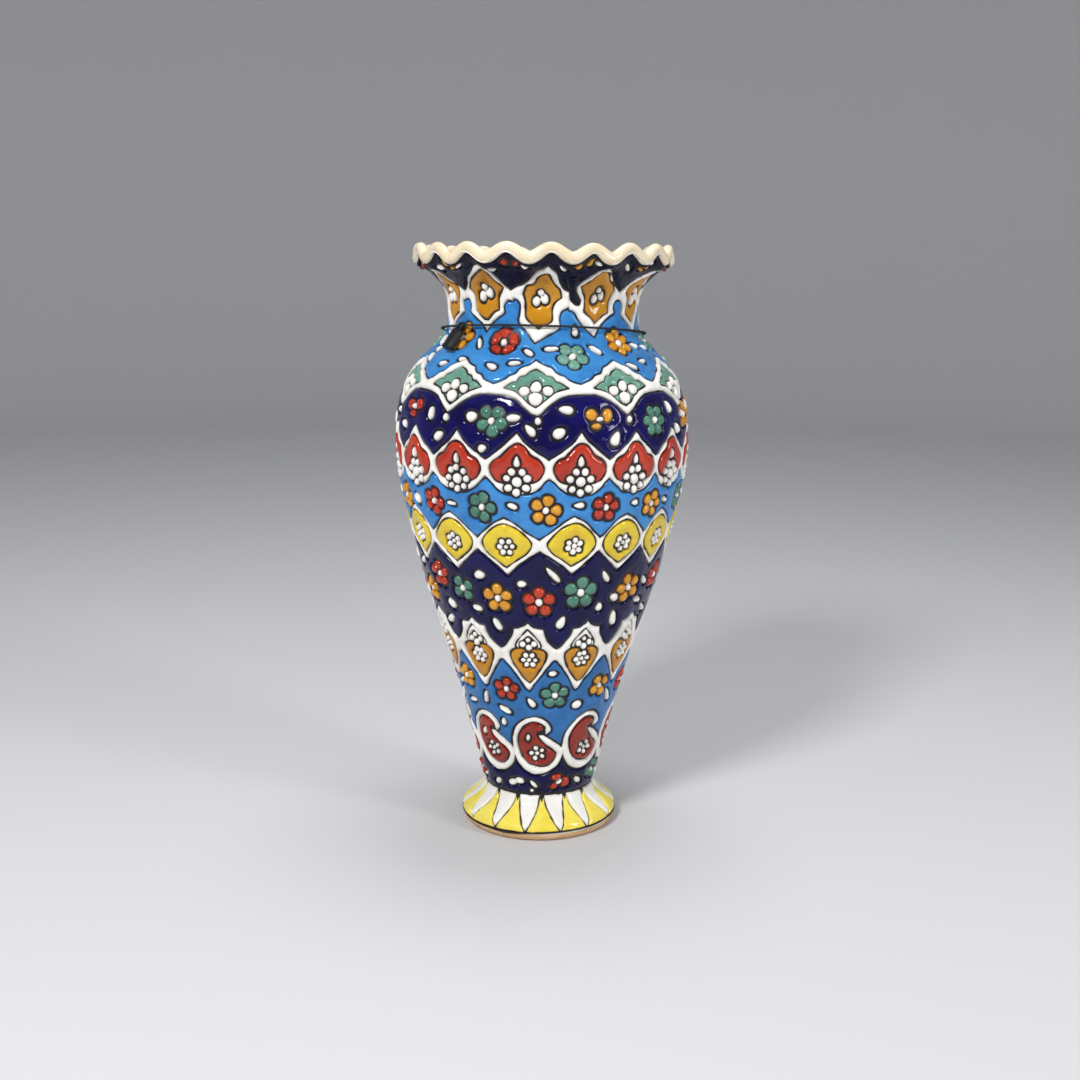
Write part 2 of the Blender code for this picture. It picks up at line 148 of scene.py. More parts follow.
LENGTH_Z = np.arange(0.0, 293.01, 0.25)
LENGTH_S = np.concatenate(([0.0], np.cumsum(np.hypot(np.diff(LENGTH_Z), np.diff(radius_at(LENGTH_Z))))))


def length_at(z):
    """Distance along the vase's outline from the ground to a height."""
    return np.interp(z, LENGTH_Z, LENGTH_S)


def height_at(s):
    """Height at a distance along the outline."""
    return np.interp(s, LENGTH_S, LENGTH_Z)


def spread(front, count):
    """Angles of a row of motifs: those given at the front, then even steps round the back."""
    gap = front[0] + 360.0 - front[-1]
    extra = count - len(front)
    return list(front) + [front[-1] + gap * (k + 1) / (extra + 1) for k in range(extra)]


TROUGHS = spread(FRONT_TROUGHS, WAVES)


def crimp_phase(angle):
    """Phase of the lip's crimping at an angle: zero at a trough, half a turn at a crest."""
    laps = np.array(TROUGHS + [TROUGHS[0] + 360.0])
    turn = (np.asarray(angle, float) - TROUGHS[0]) % 360.0 + TROUGHS[0]
    return 2 * math.pi * np.interp(turn, laps, np.arange(WAVES + 1))


def wave_shift(z, angle):
    """Rise of the crimped lip over its mean level; it fades out below the flare."""
    t = np.clip((np.asarray(z, float) - WAVE_START_Z) / (WAVE_FULL_Z - WAVE_START_Z), 0, 1)
    fade = t * t * (3 - 2 * t)
    return -WAVE_RISE * fade * np.cos(crimp_phase(angle))


def foot_edge(angle):
    """Height of the glaze's uneven lower edge on the foot."""
    turn = np.radians(angle)
    return FOOT_EDGE + 0.35 * np.sin(turn) + 0.18 * np.sin(3 * turn + 1.0) + 0.1 * np.sin(7 * turn)


def surface(z, angle, lift):
    """Points that stand off the glazed surface by a lift, in metres."""
    slope, length = slope_at(np.asarray(z, float))
    return around(
        radius_at(z) + lift / length, np.radians(angle), z - lift * slope / length + wave_shift(z, angle)
    ) * MM


def soft_noise(shape, cell, rng):
    """Smooth noise from -1 to 1 that repeats round the vase; cell is its grain in grid steps."""
    rows = max(2, int(round(shape[0] / cell)) + 2)
    columns = max(3, int(round(shape[1] / cell)))
    coarse = rng.uniform(-1.0, 1.0, (rows, columns))

    def blend(array, count, wrap):
        size = array.shape[0]
        where = np.arange(count) * ((size if wrap else size - 1) / count)
        low = where.astype(int)
        t = where - low
        t = (t * t * (3 - 2 * t))[:, None]
        return array[low % size] * (1 - t) + array[(low + 1) % size] * t

    tall = blend(coarse, shape[0], False)
    return blend(tall.T, shape[1], True).T


def blurred(field, passes):
    """Field smoothed a little both ways, wrapping round the vase."""
    for _ in range(passes):
        field = 0.5 * field + 0.25 * (np.roll(field, 1, 1) + np.roll(field, -1, 1))
        padded = np.pad(field, ((1, 1), (0, 0)), mode="edge")
        field = 0.5 * field + 0.25 * (padded[:-2] + padded[2:])
    return field


# ==== Meshes ====

def new_object(name, points, loops, sizes, material):
    """Object from a flat list of face corners and the size of each face."""
    mesh = bpy.data.meshes.new(name)
    mesh.vertices.add(len(points))
    mesh.vertices.foreach_set("co", np.ascontiguousarray(points, np.float32).ravel())
    mesh.loops.add(len(loops))
    mesh.loops.foreach_set("vertex_index", np.ascontiguousarray(loops, np.int32))
    mesh.polygons.add(len(sizes))
    starts = np.concatenate(([0], np.cumsum(sizes)[:-1])).astype(np.int32)
    mesh.polygons.foreach_set("loop_start", starts)
    mesh.update(calc_edges=True)
    mesh.shade_smooth()
    mesh.materials.append(material)
    piece = bpy.data.objects.new(name, mesh)
    bpy.context.scene.collection.objects.link(piece)
    return piece


def set_values(piece, name, values):
    """Float value at each vertex, which the material reads."""
    attribute = piece.data.attributes.new(name, "FLOAT", "POINT")
    attribute.data.foreach_set("value", np.ascontiguousarray(values, np.float32))


def place(piece, body, node=None):
    """Let a piece ride on a body and stand for a CAD node."""
    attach(piece, body)
    if node:
        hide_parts(node)


def ring_quads(count, sides, closed):
    """Vertex numbers of the rings, and the quads that join them in order (and back, if closed)."""
    index = np.arange(count * sides).reshape(count, sides)
    low = index if closed else index[:-1]
    high = np.roll(index, -1, 0) if closed else index[1:]
    return index, np.stack((low, np.roll(low, -1, 1), np.roll(high, -1, 1), high), axis=-1).reshape(-1, 4)


def ring_mesh(name, rings, material, closed=True, smooth_angle=40.0):
    """Mesh of closed rings of points; edges sharper than the angle stay sharp."""
    rings = np.asarray(rings)
    _, quads = ring_quads(*rings.shape[:2], closed)
    piece = new_object(name, rings.reshape(-1, 3), quads.ravel(), np.full(len(quads), 4), material)
    piece.data.set_sharp_from_angle(angle=math.radians(smooth_angle))
    return piece


# ==== Pattern shapes ====

SHARP = True


def smooth_outline(points, samples=5):
    """Closed outline through the points: curved at plain points, cornered at sharp ones."""
    spots = [np.array(p[:2], float) for p in points]
    sharp = [len(p) > 2 for p in points]
    count = len(spots)
    result = []
    for k in range(count):
        a, b = spots[k], spots[(k + 1) % count]
        before, after = spots[k - 1], spots[(k + 2) % count]
        start = (b - a) if sharp[k] else 0.5 * (b - before)
        end = (b - a) if sharp[(k + 1) % count] else 0.5 * (after - a)
        for step in range(samples):
            t = step / samples
            result.append(
                a * (2 * t**3 - 3 * t**2 + 1) + start * (t**3 - 2 * t**2 + t)
                + b * (3 * t**2 - 2 * t**3) + end * (t**3 - t**2)
            )
    return np.array(result)


def mirrored(half):
    """Outline from its right half, listed from the top point to the bottom point."""
    left = [(-p[0], *p[1:]) for p in reversed(half[1:-1])]
    return list(half) + left


class Patch:
    """Shape with a drawn outline: points in degrees and millimetres from a centre."""

    def __init__(self, angle, z, points, jitter=0.0, tilt=0.0):
        moved = []
        widest = max(abs(p[0]) for p in points) - 1.2
        for p in points:
            loose = jitter if abs(p[0]) < widest else 0.0
            u = p[0] + tilt * p[1] + stray(loose)
            v = p[1] + stray(loose)
            moved.append((u, v, *p[2:]))
        line = smooth_outline(moved)
        self.angle = angle
        self.turns = np.radians(line[:, 0])
        heights = line[:, 1] + z
        self.lengths = length_at(heights)
        self.reach = float(np.degrees(np.abs(self.turns).max()))
        self.low, self.high = float(heights.min()), float(heights.max())

    def distance(self, turn, s, radius):
        """Signed distance in millimetres, negative inside."""
        near = np.full(turn.shape, 1e9)
        inside = np.zeros(turn.shape, bool)
        px, py = turn * radius, s
        for k in range(len(self.turns)):
            ax, ay = self.turns[k - 1] * radius, self.lengths[k - 1]
            bx, by = self.turns[k] * radius, self.lengths[k]
            ex, ey = bx - ax, by - ay
            wx, wy = px - ax, py - ay
            t = np.clip((wx * ex + wy * ey) / (ex * ex + ey * ey + 1e-9), 0, 1)
            near = np.minimum(near, (wx - ex * t) ** 2 + (wy - ey * t) ** 2)
            if ay != by:
                crosses = (py >= min(ay, by)) & (py < max(ay, by))
                inside ^= crosses & (px < ax + ex * (py - ay) / ey)
        near = np.sqrt(near)
        return np.where(inside, -near, near)


class Blob:
    """Egg-shaped cell: half length and half width in millimetres, turned and tapered."""

    def __init__(self, angle, z, length, width, turn=0.0, taper=0.0, offset=(0.0, 0.0)):
        self.angle = angle
        self.centre = float(length_at(z))
        self.offset = offset
        self.size = (width, length)
        self.turn = math.radians(turn)
        self.taper = taper
        size = max(length, width)
        radius = float(radius_at(z))
        self.reach = math.degrees((abs(offset[0]) + size * 1.3) / radius)
        self.low = float(height_at(self.centre + offset[1] - size * 1.3))
        self.high = float(height_at(self.centre + offset[1] + size * 1.3))

    def distance(self, turn, s, radius):
        """Signed distance in millimetres, near enough, negative inside."""
        x = turn * radius - self.offset[0]
        y = s - self.centre - self.offset[1]
        c, k = math.cos(self.turn), math.sin(self.turn)
        across, along = x * c - y * k, x * k + y * c
        width, length = self.size
        across = across / np.clip(1.0 - self.taper * along / length, 0.3, 1.7)
        norm = np.sqrt((across / width) ** 2 + (along / length) ** 2) + 1e-6
        slope = np.sqrt((across / width**2) ** 2 + (along / length**2) ** 2) + 1e-6
        return norm * (norm - 1.0) / slope


# ==== Canvas: one row of the pattern, unrolled ====

# Fields of the bands, with the height that each reaches.
FIELDS = (
    (20.9, "foot_yellow"), (45.0, "foot_cobalt"), (102.0, "lower_blue"), (158.0, "waist_cobalt"),
    (196.0, "belly_blue"), (234.0, "shoulder_cobalt"), (274.3, "shoulder_blue"), (999.0, "rim_cobalt"),
)

# Distances in millimetres that stand for no outline near: at the start, and before a union.
DEEP = 50.0
FAR = 1e6


class Canvas:
    """Grid of angle and outline length that records which cell each spot belongs to."""

    def __init__(self, low, high):
        self.low, self.high = low, high
        self.s = np.arange(float(length_at(low)), float(length_at(high)), GRID_STEP)
        self.z = height_at(self.s)
        self.radius = radius_at(self.z)[:, None]
        # The columns are spaced for a radius between the row's widest and its mean.
        radius = 0.6 * float(self.radius.max()) + 0.4 * self.radius.mean()
        self.columns = int(round(2 * math.pi * radius / GRID_STEP))
        self.angle = -180.0 + 360.0 * np.arange(self.columns) / self.columns
        self.shape = (len(self.s), self.columns)
        self.names = ["bare"] + [name for _, name in FIELDS]
        levels = np.array([level for level, _ in FIELDS])
        self.cell = np.repeat(1 + np.searchsorted(levels, self.z)[:, None], self.columns, 1).astype(np.int16)
        self.depth = np.full(self.shape, DEEP)

    def measure(self, shape, margin):
        """Spots near a shape and their distances from its outline, or nothing if it is out of reach."""
        if shape.high < self.low - margin + 1.0 or shape.low > self.high + margin - 1.0:
            return None
        s_low, s_high = length_at(shape.low) - margin, length_at(shape.high) + margin
        rows = np.nonzero((self.s >= s_low) & (self.s <= s_high))[0]
        if len(rows) == 0:
            return None
        reach = min(179.9, shape.reach + math.degrees(margin / float(self.radius[rows].min())))
        local = (self.angle - shape.angle + 180.0) % 360.0 - 180.0
        columns = np.nonzero(np.abs(local) <= reach)[0]
        turn = np.broadcast_to(np.radians(local[columns]), (len(rows), len(columns)))
        return np.ix_(rows, columns), shape.distance(turn, self.s[rows][:, None], self.radius[rows])

    def key(self, name):
        """Number of a cell name."""
        if name not in self.names:
            self.names.append(name)
        return self.names.index(name)

    def paint(self, name, shapes):
        """Paint shapes as one cell, over what is there."""
        margin = 5.0 if len(shapes) > 1 else 3.0
        parts = [part for part in (self.measure(shape, margin) for shape in shapes) if part]
        if len(parts) > 1:
            union = np.full(self.shape, FAR)
            for where, distance in parts:
                union[where] = np.minimum(union[where], distance)
            parts = [(..., union)]
        for where, distance in parts:
            inside = distance < 0.0
            depth = np.minimum(self.depth[where], distance)
            self.cell[where] = np.where(inside, self.key(name), self.cell[where])
            self.depth[where] = np.where(inside, -distance, depth)

    def trim(self):
        """Stop the glaze at its uneven edge on the foot and under the lip."""
        s = self.s[:, None]
        edge = np.minimum(s - length_at(foot_edge(self.angle))[None, :], length_at(GLAZE_TOP) - s)
        self.depth = np.minimum(self.depth, edge)


# Faces of one grid square for each pattern of corners inside: c is a corner, e an edge crossing.
SQUARES = {
    1: "c0 e0 e3", 2: "e0 c1 e1", 4: "e1 c2 e2", 8: "e2 c3 e3", 3: "c0 c1 e1 e3", 6: "e0 c1 c2 e2",
    12: "e1 c2 c3 e3", 9: "c0 e0 e2 c3", 5: "c0 e0 e3, e1 c2 e2", 10: "e0 c1 e1, e2 c3 e3",
    7: "c0 c1 c2 e2 e3", 14: "e0 c1 c2 c3 e3", 13: "c0 e0 e1 c2 c3", 11: "c0 c1 e1 e2 c3", 15: "c0 c1 c2 c3",
}


def trace(field):
    """Cut the grid where a field is positive: vertex places in grid steps, faces and rims."""
    inside = field > 0.0
    right = np.roll(field, -1, 1)
    # Vertices are the corners inside, then the crossings on flat edges, then those on upright edges.
    marks = inside, inside != (right > 0.0), inside[:-1] != inside[1:]
    numbers = []
    total = 0
    for mark in marks:
        number = np.full(mark.shape, -1)
        number[mark] = total + np.arange(mark.sum())
        total += int(mark.sum())
        numbers.append(number)
    (i, j), (fi, fj), (ui, uj) = (np.nonzero(mark) for mark in marks)
    flat_t = field[fi, fj] / (field[fi, fj] - right[fi, fj])
    upright_t = field[ui, uj] / (field[ui, uj] - field[ui + 1, uj])
    at_row = np.concatenate((i, fi, ui + upright_t))
    at_column = np.concatenate((j, fj + flat_t, uj)).astype(float)

    corner, flat, upright = numbers
    beside = np.roll(corner, -1, 1)
    index = {
        "c0": corner[:-1], "c1": beside[:-1], "c2": beside[1:], "c3": corner[1:],
        "e0": flat[:-1], "e2": flat[1:], "e3": upright, "e1": np.roll(upright, -1, 1),
    }
    code = sum((index[f"c{k}"] >= 0).astype(int) << k for k in range(4))
    faces, rims = [], []
    for pattern, polygons in SQUARES.items():
        chosen = code == pattern
        if not chosen.any():
            continue
        for polygon in polygons.split(", "):
            names = polygon.split()
            faces.append(np.stack([index[name][chosen] for name in names], axis=-1))
            for a, b in zip(names, names[1:] + names[:1]):
                if a[0] == "e" and b[0] == "e":
                    rims.append(np.stack((index[a][chosen], index[b][chosen]), axis=-1))
    return at_row, at_column, len(i), faces, np.concatenate(rims)


def glaze_profile(depth, height, rounding):
    """Height of puffed glaze at a depth inside its outline."""
    t = np.clip(depth / rounding, 0.0, 1.0)
    return height * np.sqrt(np.clip(1.0 - (1.0 - t) ** 2, 0.0, 1.0))


def raise_cell(canvas, name, line_noise, swell):
    """Closed solid of raised glaze for one cell name of a canvas."""
    look = LOOKS[name]
    mine = canvas.cell == canvas.key(name)
    line = look.line + LINE_WOBBLE * line_noise
    field = np.where(mine, canvas.depth, -canvas.depth) - line
    field[0] = field[-1] = -1.0
    if not (field > 0.0).any():
        return
    height = glaze_profile(field, look.height, look.rounding)
    inner = np.clip(field / PILLOW_REACH, 0.0, 1.0)
    height = height + look.pillow * inner * inner * (3.0 - 2.0 * inner)
    height = np.where(field > 0, height * (1.0 + look.swell * swell), 0.0)
    height = blurred(height, 1 if look.rounding < 1.2 else 2)
    at_row, at_column, corners, faces, rims = trace(field)
    z = np.interp(at_row, np.arange(len(canvas.z)), canvas.z)
    angle = -180.0 + 360.0 * at_column / canvas.columns
    spots = at_row[:corners].astype(int), at_column[:corners].astype(int)
    puff = np.zeros(len(at_row))
    puff[:corners] = height[spots]
    top = surface(z, angle, puff - GLAZE_DEPTH)
    root = surface(z, angle, -GLAZE_DEPTH - GLAZE_ROOT)
    count = len(top)
    a, b = rims[:, 0], rims[:, 1]
    skirt = np.stack((b, a, a + count, b + count), axis=-1)
    every = faces + [f[:, ::-1] + count for f in faces] + [skirt]
    loops = np.concatenate([f.ravel() for f in every])
    sizes = np.concatenate([np.full(len(f), f.shape[1]) for f in every])
    piece = new_object(name, np.concatenate((top, root)), loops, sizes, look.material)
    # inward runs from 0 at the cell's edge to 1 inside; the material tints the edge with its rim colour, thin
    # glaze where darker and a painted highlight where paler.
    inward = np.zeros(len(at_row))
    inward[:corners] = np.clip(field[spots] / EDGE_TINT_REACH, 0, 1)
    set_values(piece, "inward", np.concatenate((inward, inward)))
    piece.data.set_sharp_from_angle(angle=math.radians(75.0))
    place(piece, "vase", look.node)


# ==== Materials ====

def srgb(red, green, blue):
    """Linear colour from a 0-255 one."""
    def linear(value):
        value /= 255.0
        return value / 12.92 if value <= 0.04045 else ((value + 0.055) / 1.055) ** 2.4
    return (linear(red), linear(green), linear(blue), 1.0)


class Nodes:
    """Small helper that adds and links material nodes."""

    def __init__(self, name):
        self.material = bpy.data.materials.new(name)
        self.material.use_nodes = True
        self.tree = self.material.node_tree
        self.shader = self.tree.nodes["Principled BSDF"]
        self.where = self.add("ShaderNodeTexCoord", {}).outputs["Object"]

    def feed(self, node, inputs):
        """Give each named input of a node its value or its link."""
        for key, value in inputs.items():
            if isinstance(value, (float, tuple)):
                node.inputs[key].default_value = value
            else:
                self.tree.links.new(value, node.inputs[key])

    def add(self, kind, inputs, **settings):
        node = self.tree.nodes.new(kind)
        for key, value in settings.items():
            setattr(node, key, value)
        self.feed(node, inputs)
        return node

    def stretched(self, amount):
        """Coordinates that squeeze a texture into streaks round the vase."""
        inputs = {"Scale": (1.0, 1.0, amount), "Vector": self.where}
        return self.add("ShaderNodeMapping", inputs).outputs["Vector"]

    def noise(self, scale, detail=3.0, roughness=0.5, where=None):
        inputs = {"Scale": scale, "Detail": detail, "Roughness": roughness, "Vector": where or self.where}
        return self.add("ShaderNodeTexNoise", inputs).outputs["Fac"]

    def ramp(self, source, low, high, low_value=0.0, high_value=1.0):
        inputs = {
            "Value": source, "From Min": low, "From Max": high, "To Min": low_value, "To Max": high_value,
        }
        return self.add("ShaderNodeMapRange", inputs, clamp=True).outputs["Result"]

    def mix(self, factor, first, second):
        # The colour sockets of a Mix node are its inputs 6 and 7, and its colour output is 2.
        return self.add("ShaderNodeMix", {0: factor, 6: first, 7: second}, data_type="RGBA").outputs[2]

    def finish(self, colour, roughness, bump, strength, distance):
        """Colour, roughness and surface grain of the material."""
        grain = self.add("ShaderNodeBump", {"Strength": strength, "Distance": distance, "Height": bump})
        normal = grain.outputs["Normal"]
        self.feed(self.shader, {"Base Color": colour, "Roughness": roughness, "Normal": normal})
        return self.material


def glaze_material(name, body, deep, rim, roughness=0.07, coat=0.2, gloss=1.45):
    """Glossy enamel: body colour that pools deeper in places and turns to its rim colour at the edge: darker
    where thin glaze lies over the dark ground, and, where the rim colour is paler, a painted highlight along
    the edge.
    """
    n = Nodes(name)
    broad = n.ramp(n.noise(75.0, 4.0, 0.6), 0.36, 0.66)
    strokes = n.ramp(n.noise(260.0, 4.0, 0.65, n.stretched(2.6)), 0.38, 0.72, 0.0, 0.55)
    inward = n.add("ShaderNodeAttribute", {}, attribute_name="inward").outputs["Fac"]
    colour = n.mix(broad, srgb(*body), srgb(*deep))
    colour = n.mix(strokes, colour, srgb(*body))
    # Edge tint: the rim colour at the edge is thin glaze where darker and a painted highlight where paler; on
    # the cream lip it is partly painted shade under the roll.
    colour = n.mix(n.ramp(inward, 0.0, 0.5, 0.6, 0.0), colour, srgb(*rim))
    pits = n.ramp(n.noise(1400.0, 1.0, 0.5), 0.745, 0.77)
    colour = n.mix(pits, colour, srgb(60, 45, 40))
    n.feed(n.shader, {"IOR": gloss, "Coat Weight": coat, "Coat Roughness": 0.05})
    shine = n.ramp(n.noise(300.0, 2.0), 0.3, 0.7, roughness * 0.8, roughness * 1.7)
    return n.finish(colour, shine, n.noise(240.0, 4.0, 0.55), 0.4, 0.0005)


def outline_material():
    """Dark outline glaze in the grooves: brown-black, with duller and shinier spots."""
    n = Nodes("outline_glaze")
    tone = n.mix(n.ramp(n.noise(500.0, 4.0, 0.6), 0.4, 0.7), srgb(10, 8, 10), srgb(34, 24, 22))
    dullness = n.ramp(n.noise(350.0), 0.35, 0.65, 0.3, 0.55)
    return n.finish(tone, dullness, n.noise(900.0, 3.0), 0.5, 0.0003)


def clay_material():
    """Bare buff clay: fine grain, faint turning lines, small dark and pale inclusions."""
    n = Nodes("bare_clay")
    lines = n.noise(140.0, 3.0, 0.6, n.stretched(9.0))
    colour = n.mix(n.ramp(lines, 0.35, 0.65), srgb(214, 176, 134), srgb(196, 152, 108))
    colour = n.mix(n.ramp(n.noise(45.0, 4.0), 0.4, 0.7, 0.0, 0.6), colour, srgb(226, 192, 152))
    colour = n.mix(n.ramp(n.noise(900.0, 1.0), 0.70, 0.74), colour, srgb(132, 84, 52))
    colour = n.mix(n.ramp(n.noise(760.0, 1.0), 0.72, 0.76), colour, srgb(238, 222, 196))
    grain = n.mix(0.35, n.noise(1300.0, 5.0, 0.7), lines)
    return n.finish(colour, 0.88, grain, 0.55, 0.0005)


def cord_material():
    """Black twisted cord, with a dusty fibre."""
    n = Nodes("black_cord")
    tone = n.mix(n.ramp(n.noise(2500.0, 3.0), 0.35, 0.7), srgb(16, 15, 16), srgb(52, 50, 50))
    return n.finish(tone, 0.75, n.noise(4000.0, 2.0), 0.6, 0.0002)


def seal_material():
    """Matt black moulded plastic, faintly scuffed."""
    n = Nodes("black_seal")
    scuff = n.mix(n.ramp(n.noise(350.0, 6.0, 0.75), 0.5, 0.75), srgb(8, 8, 9), srgb(26, 25, 26))
    dullness = n.ramp(n.noise(200.0), 0.3, 0.7, 0.42, 0.62)
    return n.finish(scuff, dullness, n.noise(1800.0, 4.0), 0.35, 0.0002)


def floor_material():
    """Plain pale studio floor."""
    n = Nodes("studio_floor")
    n.feed(n.shader, {"Base Color": srgb(214, 214, 216), "Roughness": 0.6})
    return n.material


# Enamels: body, pooled and edge colours (a darker edge stands for thin glaze, a paler one is a painted
# highlight), then roughness, coat and gloss where they aren't the usual.
ENAMELS = {
    "white": ((248, 246, 240), (238, 235, 227), (222, 216, 206), 0.08),
    "cobalt": ((18, 12, 92), (9, 6, 52), (6, 4, 30), 0.05, 0.08, 1.36),
    "deep_cobalt": ((12, 9, 76), (7, 5, 44), (5, 4, 26), 0.05, 0.06, 1.33),
    "night": ((14, 11, 44), (7, 6, 22), (6, 5, 14), 0.25, 0.0, 1.3),
    "sky": ((62, 142, 210), (42, 112, 180), (32, 86, 146), 0.07, 0.15, 1.4),
    "mid": ((48, 116, 180), (34, 90, 148), (24, 64, 112), 0.07, 0.12, 1.38),
    "ochre": ((204, 142, 24), (176, 112, 12), (130, 76, 8)),
    # The green and celadon rim colours are paler than the body: a painted highlight along the outlines.
    "green": ((84, 140, 120), (56, 102, 86), (118, 166, 148), 0.08),
    "celadon": ((116, 166, 148), (84, 134, 118), (150, 192, 174), 0.08),
    "red": ((192, 58, 32), (158, 38, 22), (120, 26, 16)),
    "brick": ((164, 44, 22), (122, 28, 14), (86, 17, 9)),
    "orange": ((226, 162, 48), (198, 128, 22), (148, 88, 12)),
    "yellow": ((236, 210, 54), (212, 178, 28), (156, 124, 18)),
    # The lemon's paler, whiter rim colour is a painted highlight along the outlines.
    "lemon": ((250, 234, 104), (242, 216, 70), (246, 228, 130), 0.06),
}


def make_looks():
    """Material, relief and record slot of every cell name."""
    enamels = {name: glaze_material(f"{name}_enamel", *values) for name, values in ENAMELS.items()}

    def look(enamel, slot, *relief, **more):
        return Glaze(enamels[enamel], f"{slot}_enamel", *relief, **more)

    for band, slot, enamel, line in (
        ("rim", "cobalt", "night", 0.42), ("shoulder", "blue", "sky", 0.36),
        ("shoulder", "cobalt", "cobalt", 0.34), ("belly", "blue", "sky", 0.42),
        ("waist", "cobalt", "deep_cobalt", 0.42), ("lower", "blue", "mid", 0.44),
        ("foot", "cobalt", "deep_cobalt", 0.42),
    ):
        node = f"{slot}_band_{band}"
        LOOKS[f"{band}_{slot}"] = look(enamel, slot, 0.85, 0.9, line, swell=0.09, pillow=0.3, node=node)
    LOOKS["foot_yellow"] = look("lemon", "foot", 1.1, 0.9, 0.27, node="foot_glaze")
    LOOKS["foot_white"] = look("white", "foot", 1.1, 0.9, 0.27)
    for row, line, node in (
        ("neck", 0.36, "neck_lattice"), ("shoulder", 0.32, "shoulder_lattice"),
        ("medallion", 0.38, "medallion_lattice"), ("diamond", 0.4, "diamond_lattice"),
        ("heart", 0.42, "heart_lattice"), ("paisley", 0.46, "paisley_band"),
    ):
        LOOKS[f"{row}_lattice"] = look("white", "white", 1.4, 1.7, line, node=node)
    for name, enamel, slot, height, line in (
        ("neck_ochre", "ochre", "ochre", 1.05, 0.36), ("shoulder_green", "celadon", "green", 1.05, 0.36),
        ("medallion_red", "red", "red", 1.3, 0.36), ("diamond_yellow", "yellow", "yellow", 1.05, 0.36),
        ("heart_crown", "white", "white", 1.3, 0.28), ("heart_orange", "ochre", "ochre", 1.05, 0.36),
        ("paisley_red", "brick", "red", 1.2, 0.36),
    ):
        LOOKS[name] = look(enamel, slot, height, 1.3, line, pillow=0.2)
    flower_rows = ("rim", "shoulder", "high", "belly", "waist", "lower", "base")
    for row in flower_rows + ("neck", "lattice", "medallion", "diamond", "heart", "paisley"):
        LOOKS[f"{row}_beads"] = look("white", "white", 1.7, 1.8, 0.17)
    for row in flower_rows:
        line = 0.23 if row in DARK_EDGES else 0.17
        for colour, enamel, slot in (
            ("red", "brick" if row == "rim" else "red", "red"), ("orange", "orange", "ochre"),
            ("green", "celadon" if row == "shoulder" else "green", "green"),
        ):
            LOOKS[f"{row}_petals_{colour}"] = look(enamel, slot, 1.65, 2.0, line)


# ==== The pattern, row by row ====

PATTERN = []
COLOURS = ("red", "orange", "green")
DARK_EDGE = 0.22
DARK_EDGES = {"belly": 0.42, "waist": 0.42, "lower": 0.42, "base": 0.36}
ARM_OVERLAP = 0.8
PETAL_WIDTH = {3: 0.47, 4: 0.41, 5: 0.365, 6: 0.32}


def stray(most):
    """A small random amount either way."""
    return RANDOM.uniform(-most, most)


def add_cell(name, shapes):
    """Shapes painted together as one cell."""
    PATTERN.append((name, shapes))


def add_blobs(blobs, dark=DARK_EDGE):
    """Small cells on one dark surround that follows them: (cell name, what a Blob takes)."""
    spots = [spot for _, spot in blobs]
    add_cell("bare", [Blob(a, z, length + dark, width + dark, *rest) for a, z, length, width, *rest in spots])
    for name, spot in blobs:
        add_cell(name, [Blob(*spot)])


def fitted(points, angles, k, arm, drop):
    """Motif whose arms reach past halfway to both neighbours and end at the row's own level."""
    ahead = (angles[(k + 1) % len(angles)] - angles[k]) % 360.0
    back = (angles[k] - angles[k - 1]) % 360.0
    result = []
    for u, v, *sharp in points:
        share = (u / arm) ** 2
        half = 0.5 * (ahead if u > 0.0 else back) + ARM_OVERLAP
        stretch = 1.0 + (half / arm - 1.0) * share
        result.append((u * stretch, v - drop * min(share, 1.0), *sharp))
    return result


def add_lattice(angles, heights, arm, *layers):
    """Joined lattice and the cells in it: cell name, outline and how loosely it is drawn."""
    level = sum(heights) / len(heights)
    for layer, (name, points, jitter) in enumerate(layers):
        shapes = []
        for k, angle in enumerate(angles):
            z = heights[k % len(heights)]
            outline = fitted(points, angles, k, arm, z - level)
            shapes.append(Patch(angle, z, outline, jitter, stray(0.03)))
        for cells in [shapes] if layer == 0 else [[shape] for shape in shapes]:
            add_cell(name, cells)


def polar(reach, degrees):
    """Offset at a distance, in a direction measured from upwards."""
    turn = math.radians(degrees)
    return (reach * math.sin(turn), reach * math.cos(turn))


def add_flower(row, angle, z, colour, petals, size, tilt=None, form=None):
    """Ring of fat petals round a white bead; form is the petals' reach, half length and half width."""
    tilt = RANDOM.uniform(0, 360) if tilt is None else tilt
    form = form or (0.60, 0.39, PETAL_WIDTH[petals])
    spots = []
    for k in range(petals):
        turn = tilt + 360.0 * k / petals + stray(5)
        reach = size * form[0] * RANDOM.uniform(0.97, 1.04)
        length = size * form[1] * RANDOM.uniform(0.94, 1.05)
        width = size * form[2] * RANDOM.uniform(0.95, 1.04)
        spots.append((f"{row}_petals_{colour}", (angle, z, length, width, turn, -0.16, polar(reach, turn))))
    spots.append((f"{row}_beads", (angle, z, size * 0.26, size * 0.235, tilt)))
    add_blobs(spots, DARK_EDGES.get(row, DARK_EDGE))


def add_flowers(row, flowers):
    """Flowers placed one by one: angle, height, colour, number of petals, size and tilt."""
    for flower in flowers:
        add_flower(row, *flower)


def add_drops(row, drops):
    """White drops: angle, height, half length, half width and turn."""
    for angle, z, length, width, turn in drops:
        taper = RANDOM.uniform(0.05, 0.3)
        add_cell("bare", [Blob(angle, z, length + 0.6, width + 0.25, turn, taper)])
        add_cell(f"{row}_beads", [Blob(angle, z, length, width, turn, taper)])


